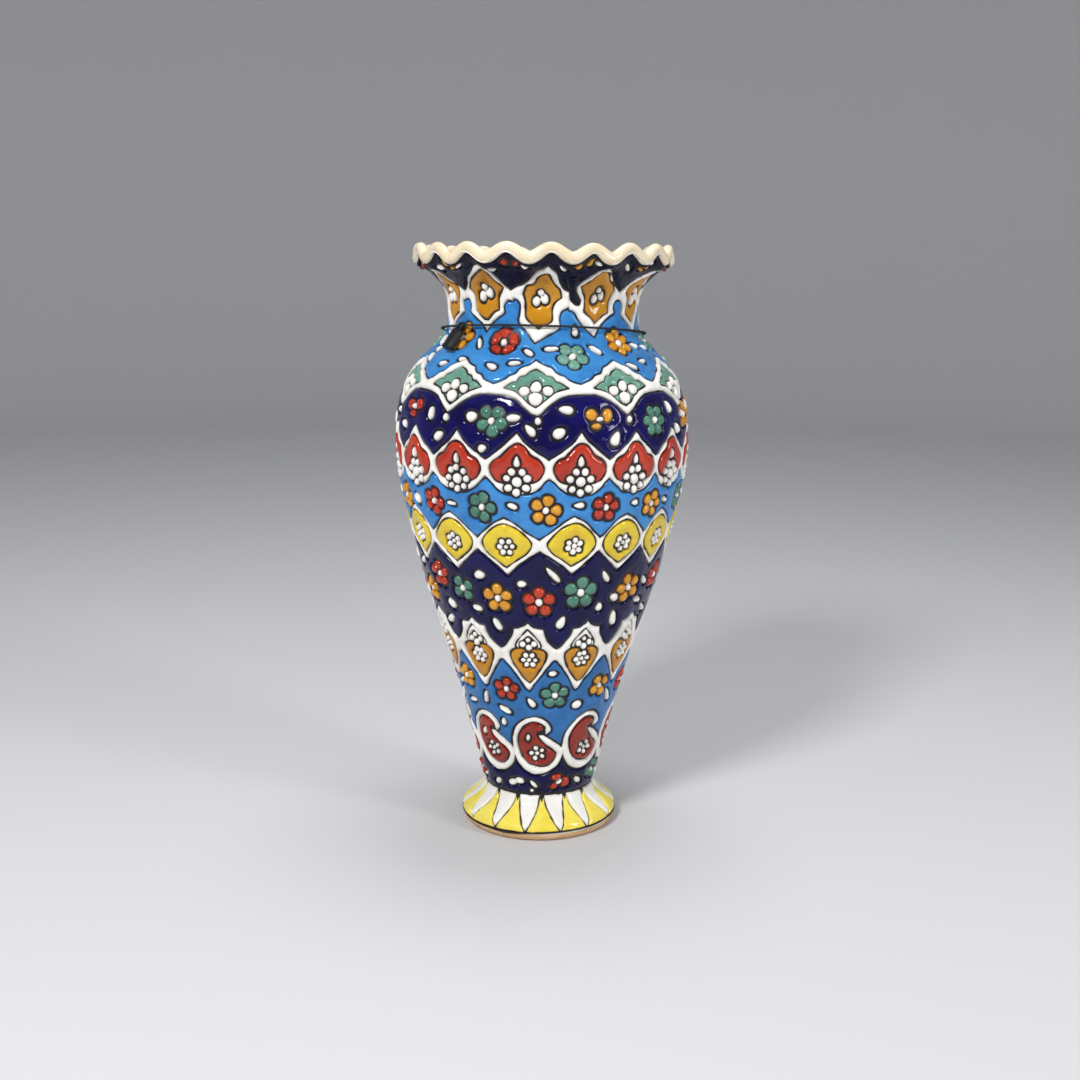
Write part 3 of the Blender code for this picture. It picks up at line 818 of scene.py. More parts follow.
def add_bead_flower(row, angle, z, ring, bead, count, heart, start=None):
    """Small ring of white beads round another."""
    start = RANDOM.uniform(0, 360) if start is None else start
    spots = []
    for k in range(count):
        turn = start + 360.0 * k / count + stray(5)
        size = bead * RANDOM.uniform(0.9, 1.06)
        spots.append((f"{row}_beads", (angle, z, size, size * 0.94, turn, 0.0, polar(ring, turn))))
    spots.append((f"{row}_beads", (angle, z, heart, heart)))
    add_cell("bare", [Blob(angle, z, ring, ring)])
    add_blobs(spots, 0.3)


def back_drops(angles, heights, size=(2.8, 1.7)):
    """Drops between the flowers round the back, scattered a little."""
    drops = []
    for k, angle in enumerate(angles):
        z = heights[k % len(heights)] + stray(1.2)
        scale = RANDOM.uniform(0.85, 1.15)
        drops.append((angle + stray(2), z, size[0] * scale, size[1] * scale, stray(60)))
    return drops


def add_back(row, angles, heights, colours, petals, size, steps, levels, drop):
    """Flowers round the back, taking heights, colours and petals in turn, with drops at steps beside each."""
    for k, angle in enumerate(angles):
        z = heights[k % len(heights)]
        add_flower(row, angle, z, colours[k % len(colours)], petals[k % len(petals)], size)
        add_drops(row, back_drops([angle + step for step in steps], levels, drop))


def between(angles):
    """Angles midway between neighbours of a row that runs round the vase."""
    closed = angles + [angles[0] + 360.0]
    return [0.5 * (a + b) for a, b in zip(closed[:-1], closed[1:])]


def behind(angles, edge):
    """Those angles that lie round the back, beyond an edge angle either side."""
    return [a for a in angles if edge < (a % 360.0) < 360.0 - edge]


TRIANGLE_GAP = 1.7


def paint_foot():
    """White triangles hanging on lemon yellow, round the foot."""
    tips = spread((-59.5, -34.0, -10.0, 16.5, 39.0, 65.0), 14)
    gaps = between(tips)
    sides = ((0.87, 7.0), (0.66, 3.8), (0.37, 0.0))
    for tip, left, right in zip(tips, gaps[-1:] + gaps[:-1], gaps):
        left = (left - tip + 180.0) % 360.0 - 180.0 + TRIANGLE_GAP
        right = (right - tip) % 360.0 - TRIANGLE_GAP
        outline = [(left, 11.2, SHARP), (right, 11.2, SHARP)] + [(right * part, up) for part, up in sides]
        outline += [(0.5, -5.2, SHARP), (-0.5, -5.2, SHARP)] + [(left * part, up) for part, up in sides[::-1]]
        add_cell("foot_white", [Patch(tip, 10.0, outline, 0.2)])
    knot = [(-2.3, 3.2, SHARP), (2.3, 3.2, SHARP), (0.0, -0.2, SHARP)]
    for gap in gaps:
        add_cell("bare", [Patch(gap, 18.0, knot, 0.2)])
    line = [(-18.5, 0.2, SHARP), (18.5, 0.2, SHARP), (18.5, -0.25, SHARP), (-18.5, -0.25, SHARP)]
    add_cell("bare", [Patch(a, 21.0, line, 0.12) for a in range(-180, 180, 36)])


def paint_base():
    """Cobalt band over the foot: flowers and drops."""
    petals = ((17.2, 30.8, 3.3, 2.1, 82.0), (26.6, 27.2, 3.3, 2.8, 10.0), (15.0, 25.4, 2.5, 1.9, 75.0))
    heart = (20.2, 28.0, 2.1, 1.4, 50.0)
    add_blobs([("base_petals_red", petal) for petal in petals] + [("base_beads", heart)])
    add_flower("base", 62.0, 30.0, "green", 3, 6.2, 20.0)
    bow = ((-26.3, 27.0, 2.6, 2.0, 75.0), (-18.8, 28.4, 2.6, 1.9, 100.0))
    add_cell("bare", [Blob(a, z, length + 0.35, width + 0.35, turn) for a, z, length, width, turn in bow])
    add_cell("base_beads", [Blob(*spot) for spot in bow])
    add_drops("base", (
        (-44.5, 25.6, 2.0, 1.8, 60), (-5.0, 26.8, 3.1, 1.2, -42), (-7.0, 22.9, 1.2, 1.0, 80),
        (41.0, 27.2, 2.8, 1.7, -52), (-66.0, 26.5, 2.8, 1.2, 55),
    ))
    for k, angle in enumerate((96.0, 134.0, 172.0, 210.0, 248.0, 282.0)):
        add_flower("base", angle, 28.2, ("orange", "green", "red")[k % 3], (4, 3, 5)[k % 3], 5.4)
        add_drops("base", ((angle - 19.0, 26.5, 2.6, 1.6, stray(70)),))


def paint_paisleys():
    """Red curled leaves in white surrounds, each with a cluster of beads."""
    angles = spread((-42.0, -1.0, 42.0), 9)
    heights = (48.6, 48.8, 49.8, 49.0)
    white = [
        (0.0, -16.4), (-10.5, -14.4), (-18.2, -9.8), (-22.0, -2.0), (-21.4, 5.4), (-18.2, 10.8),
        (-12.4, 15.0), (-6.2, 17.2), (-0.5, 17.4), (4.6, 16.0), (9.4, 13.0), (10.6, 9.6), (6.4, 6.8, SHARP),
        (3.8, 7.4, SHARP), (9.8, 4.8), (14.4, 2.6), (19.4, -0.4), (21.8, -4.6), (18.2, -10.8),
        (10.4, -14.9),
    ]
    red = [
        (0.5, -11.2), (-7.5, -9.6), (-13.0, -5.6), (-16.4, 1.2), (-15.4, 6.8), (-11.5, 11.2), (-5.5, 14.2),
        (0.5, 13.6), (4.6, 11.4), (3.8, 9.3), (0.2, 8.6, SHARP), (-0.8, 7.2, SHARP), (1.8, 4.2), (6.8, 0.9),
        (12.8, -2.0), (15.4, -4.6), (13.0, -8.3), (7.5, -11.0),
    ]
    hook = [(4.4, 9.4), (5.0, 8.2), (2.8, 7.3), (-0.2, 7.4), (-0.4, 8.4), (2.0, 9.0)]
    layers = ("paisley_lattice", white, 0.25), ("paisley_red", red, 0.15), ("bare", hook, 0.1)
    add_lattice(angles, heights, 21.5, *layers)
    for k, angle in enumerate(angles):
        z = heights[k % len(heights)]
        add_bead_flower("paisley", angle - 0.6, z - 3.6, 3.15, 1.4 + 0.15 * (k == 2), 5, 1.15)
        if k % 3 != 2:
            add_drops("paisley", ((angle - 7.8, z + 5.3, 2.1, 1.25, 8),))


def paint_lower():
    """Blue band under the hearts."""
    add_flowers("lower", (
        (-56.4, 83.8, "orange", 5, 6.8, 0), (-22.3, 81.2, "red", 5, 6.9, 5),
        (10.3, 78.4, "green", 5, 7.5, 0), (43.6, 81.0, "orange", 4, 6.7, -28),
        (72.0, 79.5, "red", 5, 6.6, 0),
    ))
    add_drops("lower", (
        (-40.1, 74.5, 3.6, 1.6, 8), (-56.0, 70.2, 3.2, 1.4, 88), (-25.2, 69.2, 3.9, 1.6, -62),
        (-5.6, 74.2, 3.1, 1.7, -35), (8.0, 90.8, 2.3, 1.6, 85), (27.3, 72.2, 2.9, 2.5, 80),
        (55.5, 73.8, 4.2, 1.6, -25), (-27.8, 62.0, 2.2, 1.5, 0), (-67.0, 79.0, 3.2, 1.5, 60),
    ))
    flowers = spread((-22.3, 10.3, 43.6, 72.0), 11)
    for k, angle in enumerate(behind(flowers, 80.0)):
        if angle < 296.0:
            add_flower("lower", angle, 80.0 + stray(1), ("green", "orange", "red")[k % 3], 5, 6.9)
            add_drops("lower", back_drops((angle + 16.0, angle + 8.0), (71.0, 66.5), (3.2, 1.6)))


def paint_hearts():
    """Orange hearts under stepped white crowns."""
    angles = spread((-70.0, -38.0, -6.5, 24.5, 57.0), 11)
    white = [
        (0.0, 19.4, SHARP), (2.8, 16.9), (5.0, 15.9, SHARP), (7.8, 15.8, SHARP), (8.8, 12.0), (10.8, 8.8),
        (13.4, 5.8), (16.0, 4.3, SHARP), (16.0, -1.5, SHARP), (14.4, -2.2), (11.8, -5.2), (8.4, -9.3),
        (4.6, -14.2), (2.0, -17.6), (0.0, -19.3, SHARP),
    ]
    heart = [
        (0.0, 3.7, SHARP), (3.6, 4.8), (7.6, 4.4), (10.2, 1.8), (9.4, -2.6), (6.6, -7.4), (3.2, -12.0),
        (0.0, -14.2, SHARP),
    ]
    crown = [(0.0, 15.2, SHARP), (2.9, 12.2), (6.1, 8.3), (6.4, 5.2), (0.0, 4.4, SHARP)]
    ground = [(0.0, 11.7, SHARP), (2.0, 10.2), (4.6, 7.4), (4.7, 5.3), (0.0, 3.9, SHARP)]
    add_lattice(angles, (100.0,), 16.0, ("heart_lattice", mirrored(white), 0.25),
                ("heart_crown", mirrored(crown), 0.15), ("heart_orange", mirrored(heart), 0.2),
                ("bare", mirrored(ground), 0.15))
    for angle in angles:
        add_bead_flower("heart", angle + 0.3, 98.6, 3.1, 1.6, 6, 1.3)
        for side, up, size in ((0.0, 9.6, 1.55), (-3.0, 7.2, 1.8), (3.2, 7.5, 1.8), (0.3, 5.4, 1.9)):
            size *= RANDOM.uniform(0.95, 1.06)
            add_cell("heart_beads", [Blob(angle + side, 100.0 + up, size, size * 0.95)])


def paint_waist():
    """Cobalt band with large flowers and drops."""
    add_flowers("waist", (
        (-67.0, 129.0, "orange", 5, 7.0, 0), (-53.7, 139.4, "red", 5, 7.3, 0),
        (-39.0, 134.2, "green", 4, 7.0, -32), (-20.2, 131.4, "orange", 5, 8.0, 0),
        (-0.6, 130.2, "red", 5, 8.5, 0), (18.7, 134.8, "green", 5, 8.9, 0),
        (45.5, 134.5, "orange", 5, 8.3, -20), (68.0, 137.0, "red", 5, 7.6, 0),
    ))
    add_drops("waist", (
        (-69.0, 143.5, 2.8, 1.8, 40), (-28.0, 142.8, 3.2, 2.2, 85), (-8.4, 139.6, 2.6, 1.9, 85),
        (5.4, 144.6, 5.3, 1.7, -42), (30.2, 142.4, 3.8, 1.7, -35), (57.2, 136.4, 3.0, 1.8, -40),
        (37.3, 130.5, 3.0, 2.4, -65), (29.5, 126.4, 2.4, 2.0, 0), (10.5, 119.2, 3.6, 2.2, 22),
        (40.0, 118.9, 4.5, 2.3, -12), (56.2, 126.0, 2.9, 1.8, -80), (-49.7, 124.3, 3.3, 2.1, -45),
        (-32.3, 124.8, 3.1, 1.8, -75), (-22.3, 117.2, 3.7, 2.0, -28), (-55.0, 115.2, 3.0, 2.2, 52),
        (66.0, 120.0, 3.0, 1.8, -50),
    ))
    flowers = behind(spread((-0.5, 22.0, 45.0, 68.0), 16), 78.0)
    add_back(
        "waist", flowers, (131.5, 136.0), ("green", "orange", "red"), (5,), 7.9, (11.0, 6.0, 12.0),
        (145.0, 119.0, 126.0), (3.2, 1.9),
    )


def paint_diamonds():
    """Yellow diamonds in white, each with a cluster of beads."""
    angles = spread((-63.0, -39.0, -14.5, 13.4, 35.6, 57.8), 15)
    heights = (159.4, 159.2, 158.8, 159.6, 159.6, 159.0)
    white = [
        (0.0, 14.4, SHARP), (4.6, 11.4), (8.6, 6.8), (12.9, 2.6, SHARP), (12.9, -2.4, SHARP), (9.2, -5.8),
        (5.0, -9.8), (0.0, -14.8, SHARP),
    ]
    yellow = [
        (0.0, 11.2), (4.6, 9.0), (8.8, 4.0), (9.9, 0.2), (8.0, -4.0), (4.4, -7.4), (0.0, -11.0, SHARP),
    ]
    add_lattice(angles, heights, 12.9, ("diamond_lattice", mirrored(white), 0.3),
                ("diamond_yellow", mirrored(yellow), 0.25))
    for k, angle in enumerate(angles):
        add_bead_flower("diamond", angle + 0.2, heights[k % len(heights)] - 0.4, 3.15, 1.65, 6, 1.35)


def paint_belly():
    """Sky blue band of the belly."""
    front = (
        (-69.0, 177.0, "orange", 7.0), (-46.2, 177.8, "red", 7.0), (-23.2, 177.5, "green", 7.6),
        (1.8, 177.0, "orange", 7.9), (25.4, 177.7, "red", 7.3), (48.3, 177.2, "orange", 7.0),
        (72.0, 177.5, "green", 7.2),
    )
    for angle, z, colour, size in front:
        add_flower("belly", angle, z, colour, 5, size, RANDOM.uniform(8, 24))
    flowers = spread([spot[0] for spot in front], 15)
    for k, angle in enumerate(behind(flowers, 76.0)):
        add_flower("belly", angle, 177.5, COLOURS[k % 3], 5, 7.3)
    add_drops("belly", (
        (-57.8, 177.3, 3.1, 2.3, -40), (-36.9, 178.0, 2.9, 1.2, -85), (-11.0, 178.8, 2.7, 1.6, -72),
        (14.4, 179.3, 2.8, 1.5, -88), (38.5, 179.0, 2.1, 1.6, -85), (57.6, 177.8, 2.6, 1.6, -70),
    ))
    add_drops("belly", back_drops(behind(between(flowers), 62.0), (178.5, 177.5)))


def paint_medallions():
    """Red trefoils in white, with a drop and a cluster of beads."""
    angles = spread((-56.5, -33.0, -9.0, 14.5, 37.0, 59.0), 16)
    white = [
        (0.0, 17.0, SHARP), (3.6, 11.8), (6.6, 8.6), (9.4, 5.8), (12.1, 3.2, SHARP), (12.1, -4.0, SHARP),
        (9.8, -6.6), (7.6, -9.8), (4.2, -12.2), (0.0, -12.8),
    ]
    red = [
        (0.0, 11.7), (2.7, 10.4), (4.7, 7.0), (6.0, 5.4), (8.4, 3.8), (9.8, 0.2), (9.0, -3.6), (6.6, -6.6),
        (0.0, -8.0),
    ]
    add_lattice(angles, (197.0,), 12.1, ("medallion_lattice", mirrored(white), 0.3),
                ("medallion_red", mirrored(red), 0.2))
    bead_sizes = {7: 2.08, 8: 1.92}
    for angle in angles:
        count = RANDOM.choice((7, 7, 8))
        add_cell("bare", [Blob(angle, 200.2, 3.3, 2.0, 0.0, 0.3)])
        add_cell("medallion_beads", [Blob(angle, 200.4, 2.7, 1.55, 0.0, 0.4)])
        add_bead_flower("medallion", angle, 190.7, 5.2, bead_sizes[count], count, 2.6, 180.0)


def paint_high():
    """Cobalt band of the shoulder."""
    for colour, petals, heart in (
        ("red", (
            (-61.4, 223.2, 2.9, 3.1, -30.0), (-55.0, 223.8, 3.0, 3.2, 25.0), (-58.6, 219.0, 1.9, 2.7, 5.0),
        ), (-58.4, 222.6, 1.6, 2.0, 10.0)),
        ("orange", (
            (18.6, 222.0, 3.1, 3.0, -12.0), (24.8, 221.5, 3.5, 2.7, 8.0), (20.2, 216.6, 1.75, 2.7, -4.0),
        ), (21.7, 219.9, 1.35, 2.1, -6.0)),
    ):
        add_blobs([(f"high_petals_{colour}", petal) for petal in petals] + [("high_beads", heart)])
    add_drops("high", ((-26.8, 220.4, 3.1, 2.7, 82), (-10.6, 220.4, 3.6, 2.0, 82)))
    add_flowers("high", (
        (-18.8, 218.8, "green", 5, 7.9, 33), (47.4, 217.8, "green", 6, 7.9, 30),
        (73.0, 218.0, "orange", 5, 7.4, 0),
    ))
    add_drops("high", (
        (-46.5, 220.4, 3.5, 2.1, 5), (-41.6, 210.2, 3.3, 2.3, 60), (-22.0, 205.9, 2.4, 1.9, 80),
        (-4.2, 214.8, 3.6, 2.0, -42), (9.0, 224.4, 3.7, 2.2, -82), (6.3, 213.6, 3.4, 2.6, 62),
        (28.0, 210.5, 3.8, 2.5, 25), (57.6, 223.4, 3.9, 2.0, -28), (-66.0, 213.0, 2.9, 2.1, -60),
        (63.5, 212.5, 3.3, 2.3, -40),
    ))
    domes = behind(spread((-57.0, -20.0, 15.5, 52.0), 10), 75.0)
    add_back(
        "high", domes, (219.5,), ("orange", "green", "red"), (6, 3, 5), 7.4, (-9.5, 9.5, 18.0),
        (222.5, 213.5, 208.5), (3.3, 2.2),
    )
    tips = spread((-38.5, -1.5, 34.4, 70.0), 10)
    add_drops("high", [(angle, 219.2, 2.0, 1.7, stray(12)) for angle in tips])


def paint_shoulder_lattice():
    """Green diamonds in white, over scalloped edges."""
    angles = spread((-37.5, -2.5, 34.0, 70.0), 10)
    white = [
        (0.0, 10.6, SHARP), (3.4, 8.6), (6.8, 7.2, SHARP), (8.6, 4.8), (11.5, 3.6, SHARP), (13.6, 1.6),
        (18.0, -0.4, SHARP), (18.0, -4.9, SHARP), (12.5, -5.2), (8.0, -7.2), (4.6, -10.0), (2.0, -13.2),
        (0.0, -14.6, SHARP),
    ]
    green = [
        (0.0, 6.8, SHARP), (2.6, 5.4), (4.4, 3.7, SHARP), (6.6, 3.1), (7.8, 1.1, SHARP), (10.0, 0.5),
        (12.6, -1.9, SHARP), (8.6, -3.2), (5.4, -5.6), (2.4, -8.8), (0.0, -10.4, SHARP),
    ]
    add_lattice(angles, (236.0,), 18.0, ("shoulder_lattice", mirrored(white), 0.25),
                ("shoulder_green", mirrored(green), 0.2))
    beads = (
        (0.1, -1.2, 3.0, 2.6, 0.0), (-4.5, -3.1, 2.7, 2.5, 60.0), (4.7, -2.9, 2.7, 2.5, -60.0),
        (0.0, -6.7, 3.1, 3.2, 180.0),
    )
    for angle in angles:
        spots = []
        for side, up, length, width, turn in beads:
            lean = turn + stray(12)
            scale = RANDOM.uniform(0.95, 1.05)
            bead = (angle + side, 236.0 + up, length * scale, width * scale, lean, 0.12)
            spots.append(("lattice_beads", bead))
        add_blobs(spots, 0.25)


def paint_shoulder():
    """Sky blue band at the root of the neck."""
    add_flowers("shoulder", (
        (-50.5, 255.3, "orange", 6, 7.8, 20), (14.3, 248.2, "green", 5, 8.2, 38),
        (45.0, 253.6, "orange", 6, 7.8, 10), (-21.0, 254.0, "red", 5, 7.8, 0, (0.62, 0.32, 0.44)),
    ))
    add_drops("shoulder", (
        (-35.5, 253.4, 3.5, 1.4, -28), (-51.0, 243.6, 3.0, 1.6, 75), (-40.0, 246.1, 2.7, 1.4, 85),
        (-23.0, 243.6, 3.3, 1.7, -68), (-12.5, 245.2, 3.3, 1.4, 85), (-7.0, 250.0, 3.0, 1.6, -50),
        (4.5, 251.6, 3.8, 1.5, 86), (18.5, 259.0, 2.4, 1.7, 0), (27.5, 251.0, 3.7, 1.5, -45),
        (44.0, 243.2, 3.6, 1.3, -60), (53.0, 245.2, 2.4, 1.5, -80), (57.0, 252.2, 2.8, 1.4, -60),
        (66.0, 251.0, 2.6, 1.4, -50), (-66.0, 249.5, 3.0, 1.4, 40),
    ))
    flowers = behind(spread((-53.0, -21.0, 14.5, 45.0, 78.0), 11), 70.0)
    add_back(
        "shoulder", flowers, (253.5, 250.0), ("green", "red", "orange"), (6,), 6.9, (16.0, 10.0, 21.0),
        (253.0, 244.5, 246.0), (3.1, 1.5),
    )


NECK_ANGLES = spread((-67.0, -34.0, -1.4, 32.4, 66.0), 11)


def paint_neck():
    """Ochre medallions in white, each with a cluster of three fat beads, and one run of cobalt."""
    heights = (274.6, 276.0, 273.8, 275.2, 274.8)
    # Three drawn forms come in turn: each is a white surround and the ochre field inside it.
    leaning = (
        [
            (-1.4, 13.4, SHARP), (2.6, 10.6), (6.1, 7.4), (11.0, 4.6), (17.0, 1.4, SHARP),
            (17.0, -1.8, SHARP), (13.4, -2.8), (12.8, -5.6), (13.6, -7.6), (8.8, -10.2), (3.0, -13.8),
            (-2.6, -18.6, SHARP), (-6.4, -16.0), (-10.6, -12.0), (-14.0, -7.6), (-17.0, -6.4, SHARP),
            (-17.0, 2.2, SHARP), (-13.2, 4.4), (-9.9, 7.4), (-4.9, 10.8),
        ],
        [
            (-1.9, 10.8), (2.2, 9.2), (4.8, 6.6), (9.4, 4.8), (11.2, 2.4, SHARP), (8.6, -2.6),
            (8.4, -7.8, SHARP), (4.2, -9.4), (-0.9, -12.6, SHARP), (-4.0, -10.2), (-8.0, -7.2, SHARP),
            (-7.9, -1.0), (-9.9, 1.6), (-11.1, 4.0, SHARP), (-7.0, 6.6), (-4.6, 8.8),
        ],
    )
    short = (
        [
            (4.0, 12.8, SHARP), (7.4, 9.8), (10.4, 6.6), (13.0, 4.0), (17.0, 1.4, SHARP),
            (17.0, -2.4, SHARP), (13.2, -3.2), (11.4, -5.6), (11.2, -8.6), (6.4, -11.8), (3.2, -14.4),
            (0.4, -17.4, SHARP), (-4.0, -14.0), (-9.8, -10.8), (-13.0, -8.2), (-12.2, -5.0), (-13.6, -2.6),
            (-17.0, -1.8, SHARP), (-17.0, 1.8, SHARP), (-13.4, 3.6), (-8.6, 7.0), (-2.0, 10.4),
        ],
        [
            (4.2, 10.8, SHARP), (6.4, 7.8), (8.0, 5.4), (12.0, 3.0, SHARP), (10.2, 1.0), (8.4, -2.0),
            (8.0, -7.4, SHARP), (4.6, -8.6), (0.6, -12.2, SHARP), (-2.6, -11.4), (-8.4, -8.0, SHARP),
            (-8.2, -1.0), (-11.2, 2.4, SHARP), (-8.0, 5.2), (-2.0, 8.2),
        ],
    )
    long = (
        [
            (3.6, 13.8, SHARP), (7.6, 10.8), (10.2, 6.8), (12.6, 3.4), (17.0, 1.4, SHARP),
            (17.0, -5.2, SHARP), (12.6, -6.4), (11.0, -9.6), (10.8, -13.6), (4.4, -16.6),
            (-2.6, -20.0, SHARP), (-7.4, -15.6), (-12.6, -11.6), (-11.8, -7.4), (-12.0, -3.6),
            (-13.4, -1.8), (-17.0, -1.2, SHARP), (-17.0, 2.2, SHARP), (-13.0, 4.2), (-7.2, 7.0),
            (-2.2, 11.2),
        ],
        [
            (3.9, 10.8), (5.8, 8.2), (8.2, 5.4), (10.6, 3.4), (11.8, -0.2, SHARP), (8.4, -2.2), (7.0, -5.2),
            (6.8, -10.6), (1.8, -12.2), (-0.8, -13.6, SHARP), (-3.8, -12.0), (-8.2, -8.6), (-8.4, -2.0),
            (-9.6, 1.6, SHARP), (-7.4, 5.0), (-3.2, 6.6), (-0.4, 9.6),
        ],
    )
    forms = (leaning, short, long)
    level = sum(heights) / len(heights)
    spots = [(k, angle, heights[k % len(heights)]) for k, angle in enumerate(NECK_ANGLES)]

    def drawn(k, angle, z, part, jitter):
        outline = fitted(forms[k % 3][part], NECK_ANGLES, k, 17.0, z - level)
        return Patch(angle, z, outline, jitter)

    add_cell("neck_lattice", [drawn(*spot, 0, 0.2) for spot in spots])
    run = [
        (-3.0, 7.0), (-1.4, 1.4), (-0.4, -2.4), (2.2, -4.6), (5.2, -5.2, SHARP), (5.9, -3.0), (4.2, -1.3),
        (2.6, 0.4), (2.0, 3.4), (3.0, 7.0),
    ]
    add_cell("rim_cobalt", [Patch(16.2, 275.8, run)])
    for spot in spots:
        add_cell("neck_ochre", [drawn(*spot, 1, 0.25)])
    for k, angle, z in spots:
        lean = stray(0.9)
        scale = (1.0, 1.0, 0.9, 0.85)[k % 4]
        add_blobs(
            [
                ("neck_beads", (angle - 2.4 * scale, z - 1.0 - lean, 2.7 * scale, 2.15 * scale, 14.0)),
                ("neck_beads", (angle + 2.6 * scale, z - 0.6 + lean, 2.8 * scale, 2.2 * scale, -16.0)),
                ("neck_beads", (angle + 0.2, z + 2.6 * scale, 1.8 * scale, 1.9 * scale, 0.0)),
            ],
            0.4,
        )


def paint_rim():
    """Night-blue underside of the lip, with half-hidden petals and drops."""
    for k, angle in enumerate(between(NECK_ANGLES)):
        colour = ("orange", "red", "orange")[k % 3]
        for side in (-1.0, 1.0):
            add_blobs(
                [(f"rim_petals_{colour}", (angle + side * 2.8 + 3.0, 288.4, 2.5, 1.5, 60.0 * side))], 0.5,
            )
        add_drops("rim", ((angle - 6.5, 287.0, 2.4, 1.3, -50), (angle + 9.5, 288.6, 2.0, 1.2, 80)))


def paint_pattern():
    """Whole pattern, lattices first and small cells last."""
    for paint in (
        paint_foot, paint_paisleys, paint_hearts, paint_diamonds, paint_medallions, paint_shoulder_lattice,
        paint_neck, paint_base, paint_lower, paint_waist, paint_belly, paint_high, paint_shoulder, paint_rim,
    ):
        paint()


def flowered(row, field, colours=COLOURS):
    """Cells of a flowered band: its field, its petals and its white beads."""
    return (field, *(f"{row}_petals_{colour}" for colour in colours), f"{row}_beads")


# Rows: heights the canvas spans, and the cells that it raises.
ROWS = (
    (3.2, 23.5, ("foot_yellow", "foot_white")),
    (18.5, 43.0, flowered("base", "foot_cobalt")),
    (30.0, 71.0, ("paisley_lattice", "paisley_red", "paisley_beads")),
    (45.0, 103.0, flowered("lower", "lower_blue")),
    (77.0, 124.0, ("heart_lattice", "heart_crown", "heart_orange", "heart_beads")),
    (99.0, 160.0, flowered("waist", "waist_cobalt")),
    (141.0, 177.0, ("diamond_lattice", "diamond_yellow", "diamond_beads")),
    (156.0, 197.0, flowered("belly", "belly_blue")),
    (180.0, 217.0, ("medallion_lattice", "medallion_red", "medallion_beads")),
    (194.0, 236.0, flowered("high", "shoulder_cobalt")),
    (218.0, 249.0, ("shoulder_lattice", "shoulder_green", "lattice_beads")),
    (232.0, 278.0, flowered("shoulder", "shoulder_blue")),
    (250.0, 291.4, ("neck_lattice", "neck_ochre", "neck_beads")),
    (267.0, 292.4, flowered("rim", "rim_cobalt", ("red", "orange"))),
)


def build_glaze():
    """Raise every row of the pattern."""
    noise = np.random.default_rng(SEED)
    for low, high, names in ROWS:
        canvas = Canvas(low, high)
        for name, shapes in PATTERN:
            canvas.paint(name, shapes)
        canvas.trim()
        grains = (LINE_GRAIN, BROAD_GRAIN, FINE_GRAIN)
        line_noise, broad, fine = (soft_noise(canvas.shape, grain / GRID_STEP, noise) for grain in grains)
        swell = 0.6 * broad + 0.4 * fine
        for name in names:
            raise_cell(canvas, name, line_noise, swell)


# ==== Outline glaze, lip, clay, cord and seal ====

def build_outline_shell():
    """Dark glaze under the raised cells, seen in the grooves and behind the flowers."""
    angles = np.linspace(-180.0, 180.0, 360, endpoint=False)
    s = np.arange(float(length_at(BARE_TOP)), float(length_at(SHELL_TOP)), 0.6)
    heights = height_at(s)
    outside = [surface(z, angles, -GLAZE_DEPTH) for z in heights]
    inside = [surface(z, angles, -GLAZE_DEPTH - SHELL_DEPTH) for z in heights[::-1]]
    material = outline_material()
    place(ring_mesh("outline_glaze", outside + inside, material), "vase")
    return material


def build_foot_line(shell_material):
    """Uneven dark line where the outline glaze shows under the foot's lowest glaze."""
    angles = np.linspace(-180.0, 180.0, 480, endpoint=False)
    turn = np.radians(angles)
    pool = np.exp(-((angles + 28.0) / 22.0) ** 2) * (0.75 + 0.25 * np.sin(11 * turn))
    middle = foot_edge(angles) + 0.05 - 0.35 * pool
    thick = 0.24 + 0.42 * pool + 0.06 * np.sin(9 * turn)
    rings = []
    for t in np.radians(range(0, 360, 45)):
        z = middle + thick * math.sin(t)
        rings.append(surface(z, angles, -0.42 + (0.45 + 0.2 * pool) * math.cos(t)))
    place(ring_mesh("foot_line", rings, shell_material), "vase")


def clay_ring(radius, z, wobble, phase):
    """Ring of points, slightly out of round."""
    angles = np.radians(np.linspace(-180.0, 180.0, 288, endpoint=False))
    r = radius + wobble * (np.sin(3 * angles + phase) + 0.6 * np.sin(7 * angles + 2.1 * phase))
    return around(r, angles, z) * MM


def wall_thickness(z):
    """Thickness of the clay wall, as in the CAD."""
    return WALL_LOW + (WALL_HIGH - WALL_LOW) * (z - FLOOR_Z) / (RIM_JOINT - FLOOR_Z)


def below(z, depth):
    """Radius and height of a point square below the glazed surface."""
    slope, length = slope_at(z)
    return float(radius_at(z) - depth / length), float(z + depth * slope / length)


def turned_piece(name, outline, material):
    """Clay section turned from a closed outline of (radius, height); its name is the CAD node's."""
    rings = [clay_ring(max(r, 0.05), z, 0.04, 0.11 * z) for r, z in outline]
    place(ring_mesh(f"{name}_clay", rings, material, True, 35.0), "vase", name)


def throwing_lines(z):
    """Shallow finger ridges left inside the wall."""
    return 0.22 * math.sin(z * 1.05) + 0.10 * math.sin(z * 2.3 + 1.0)


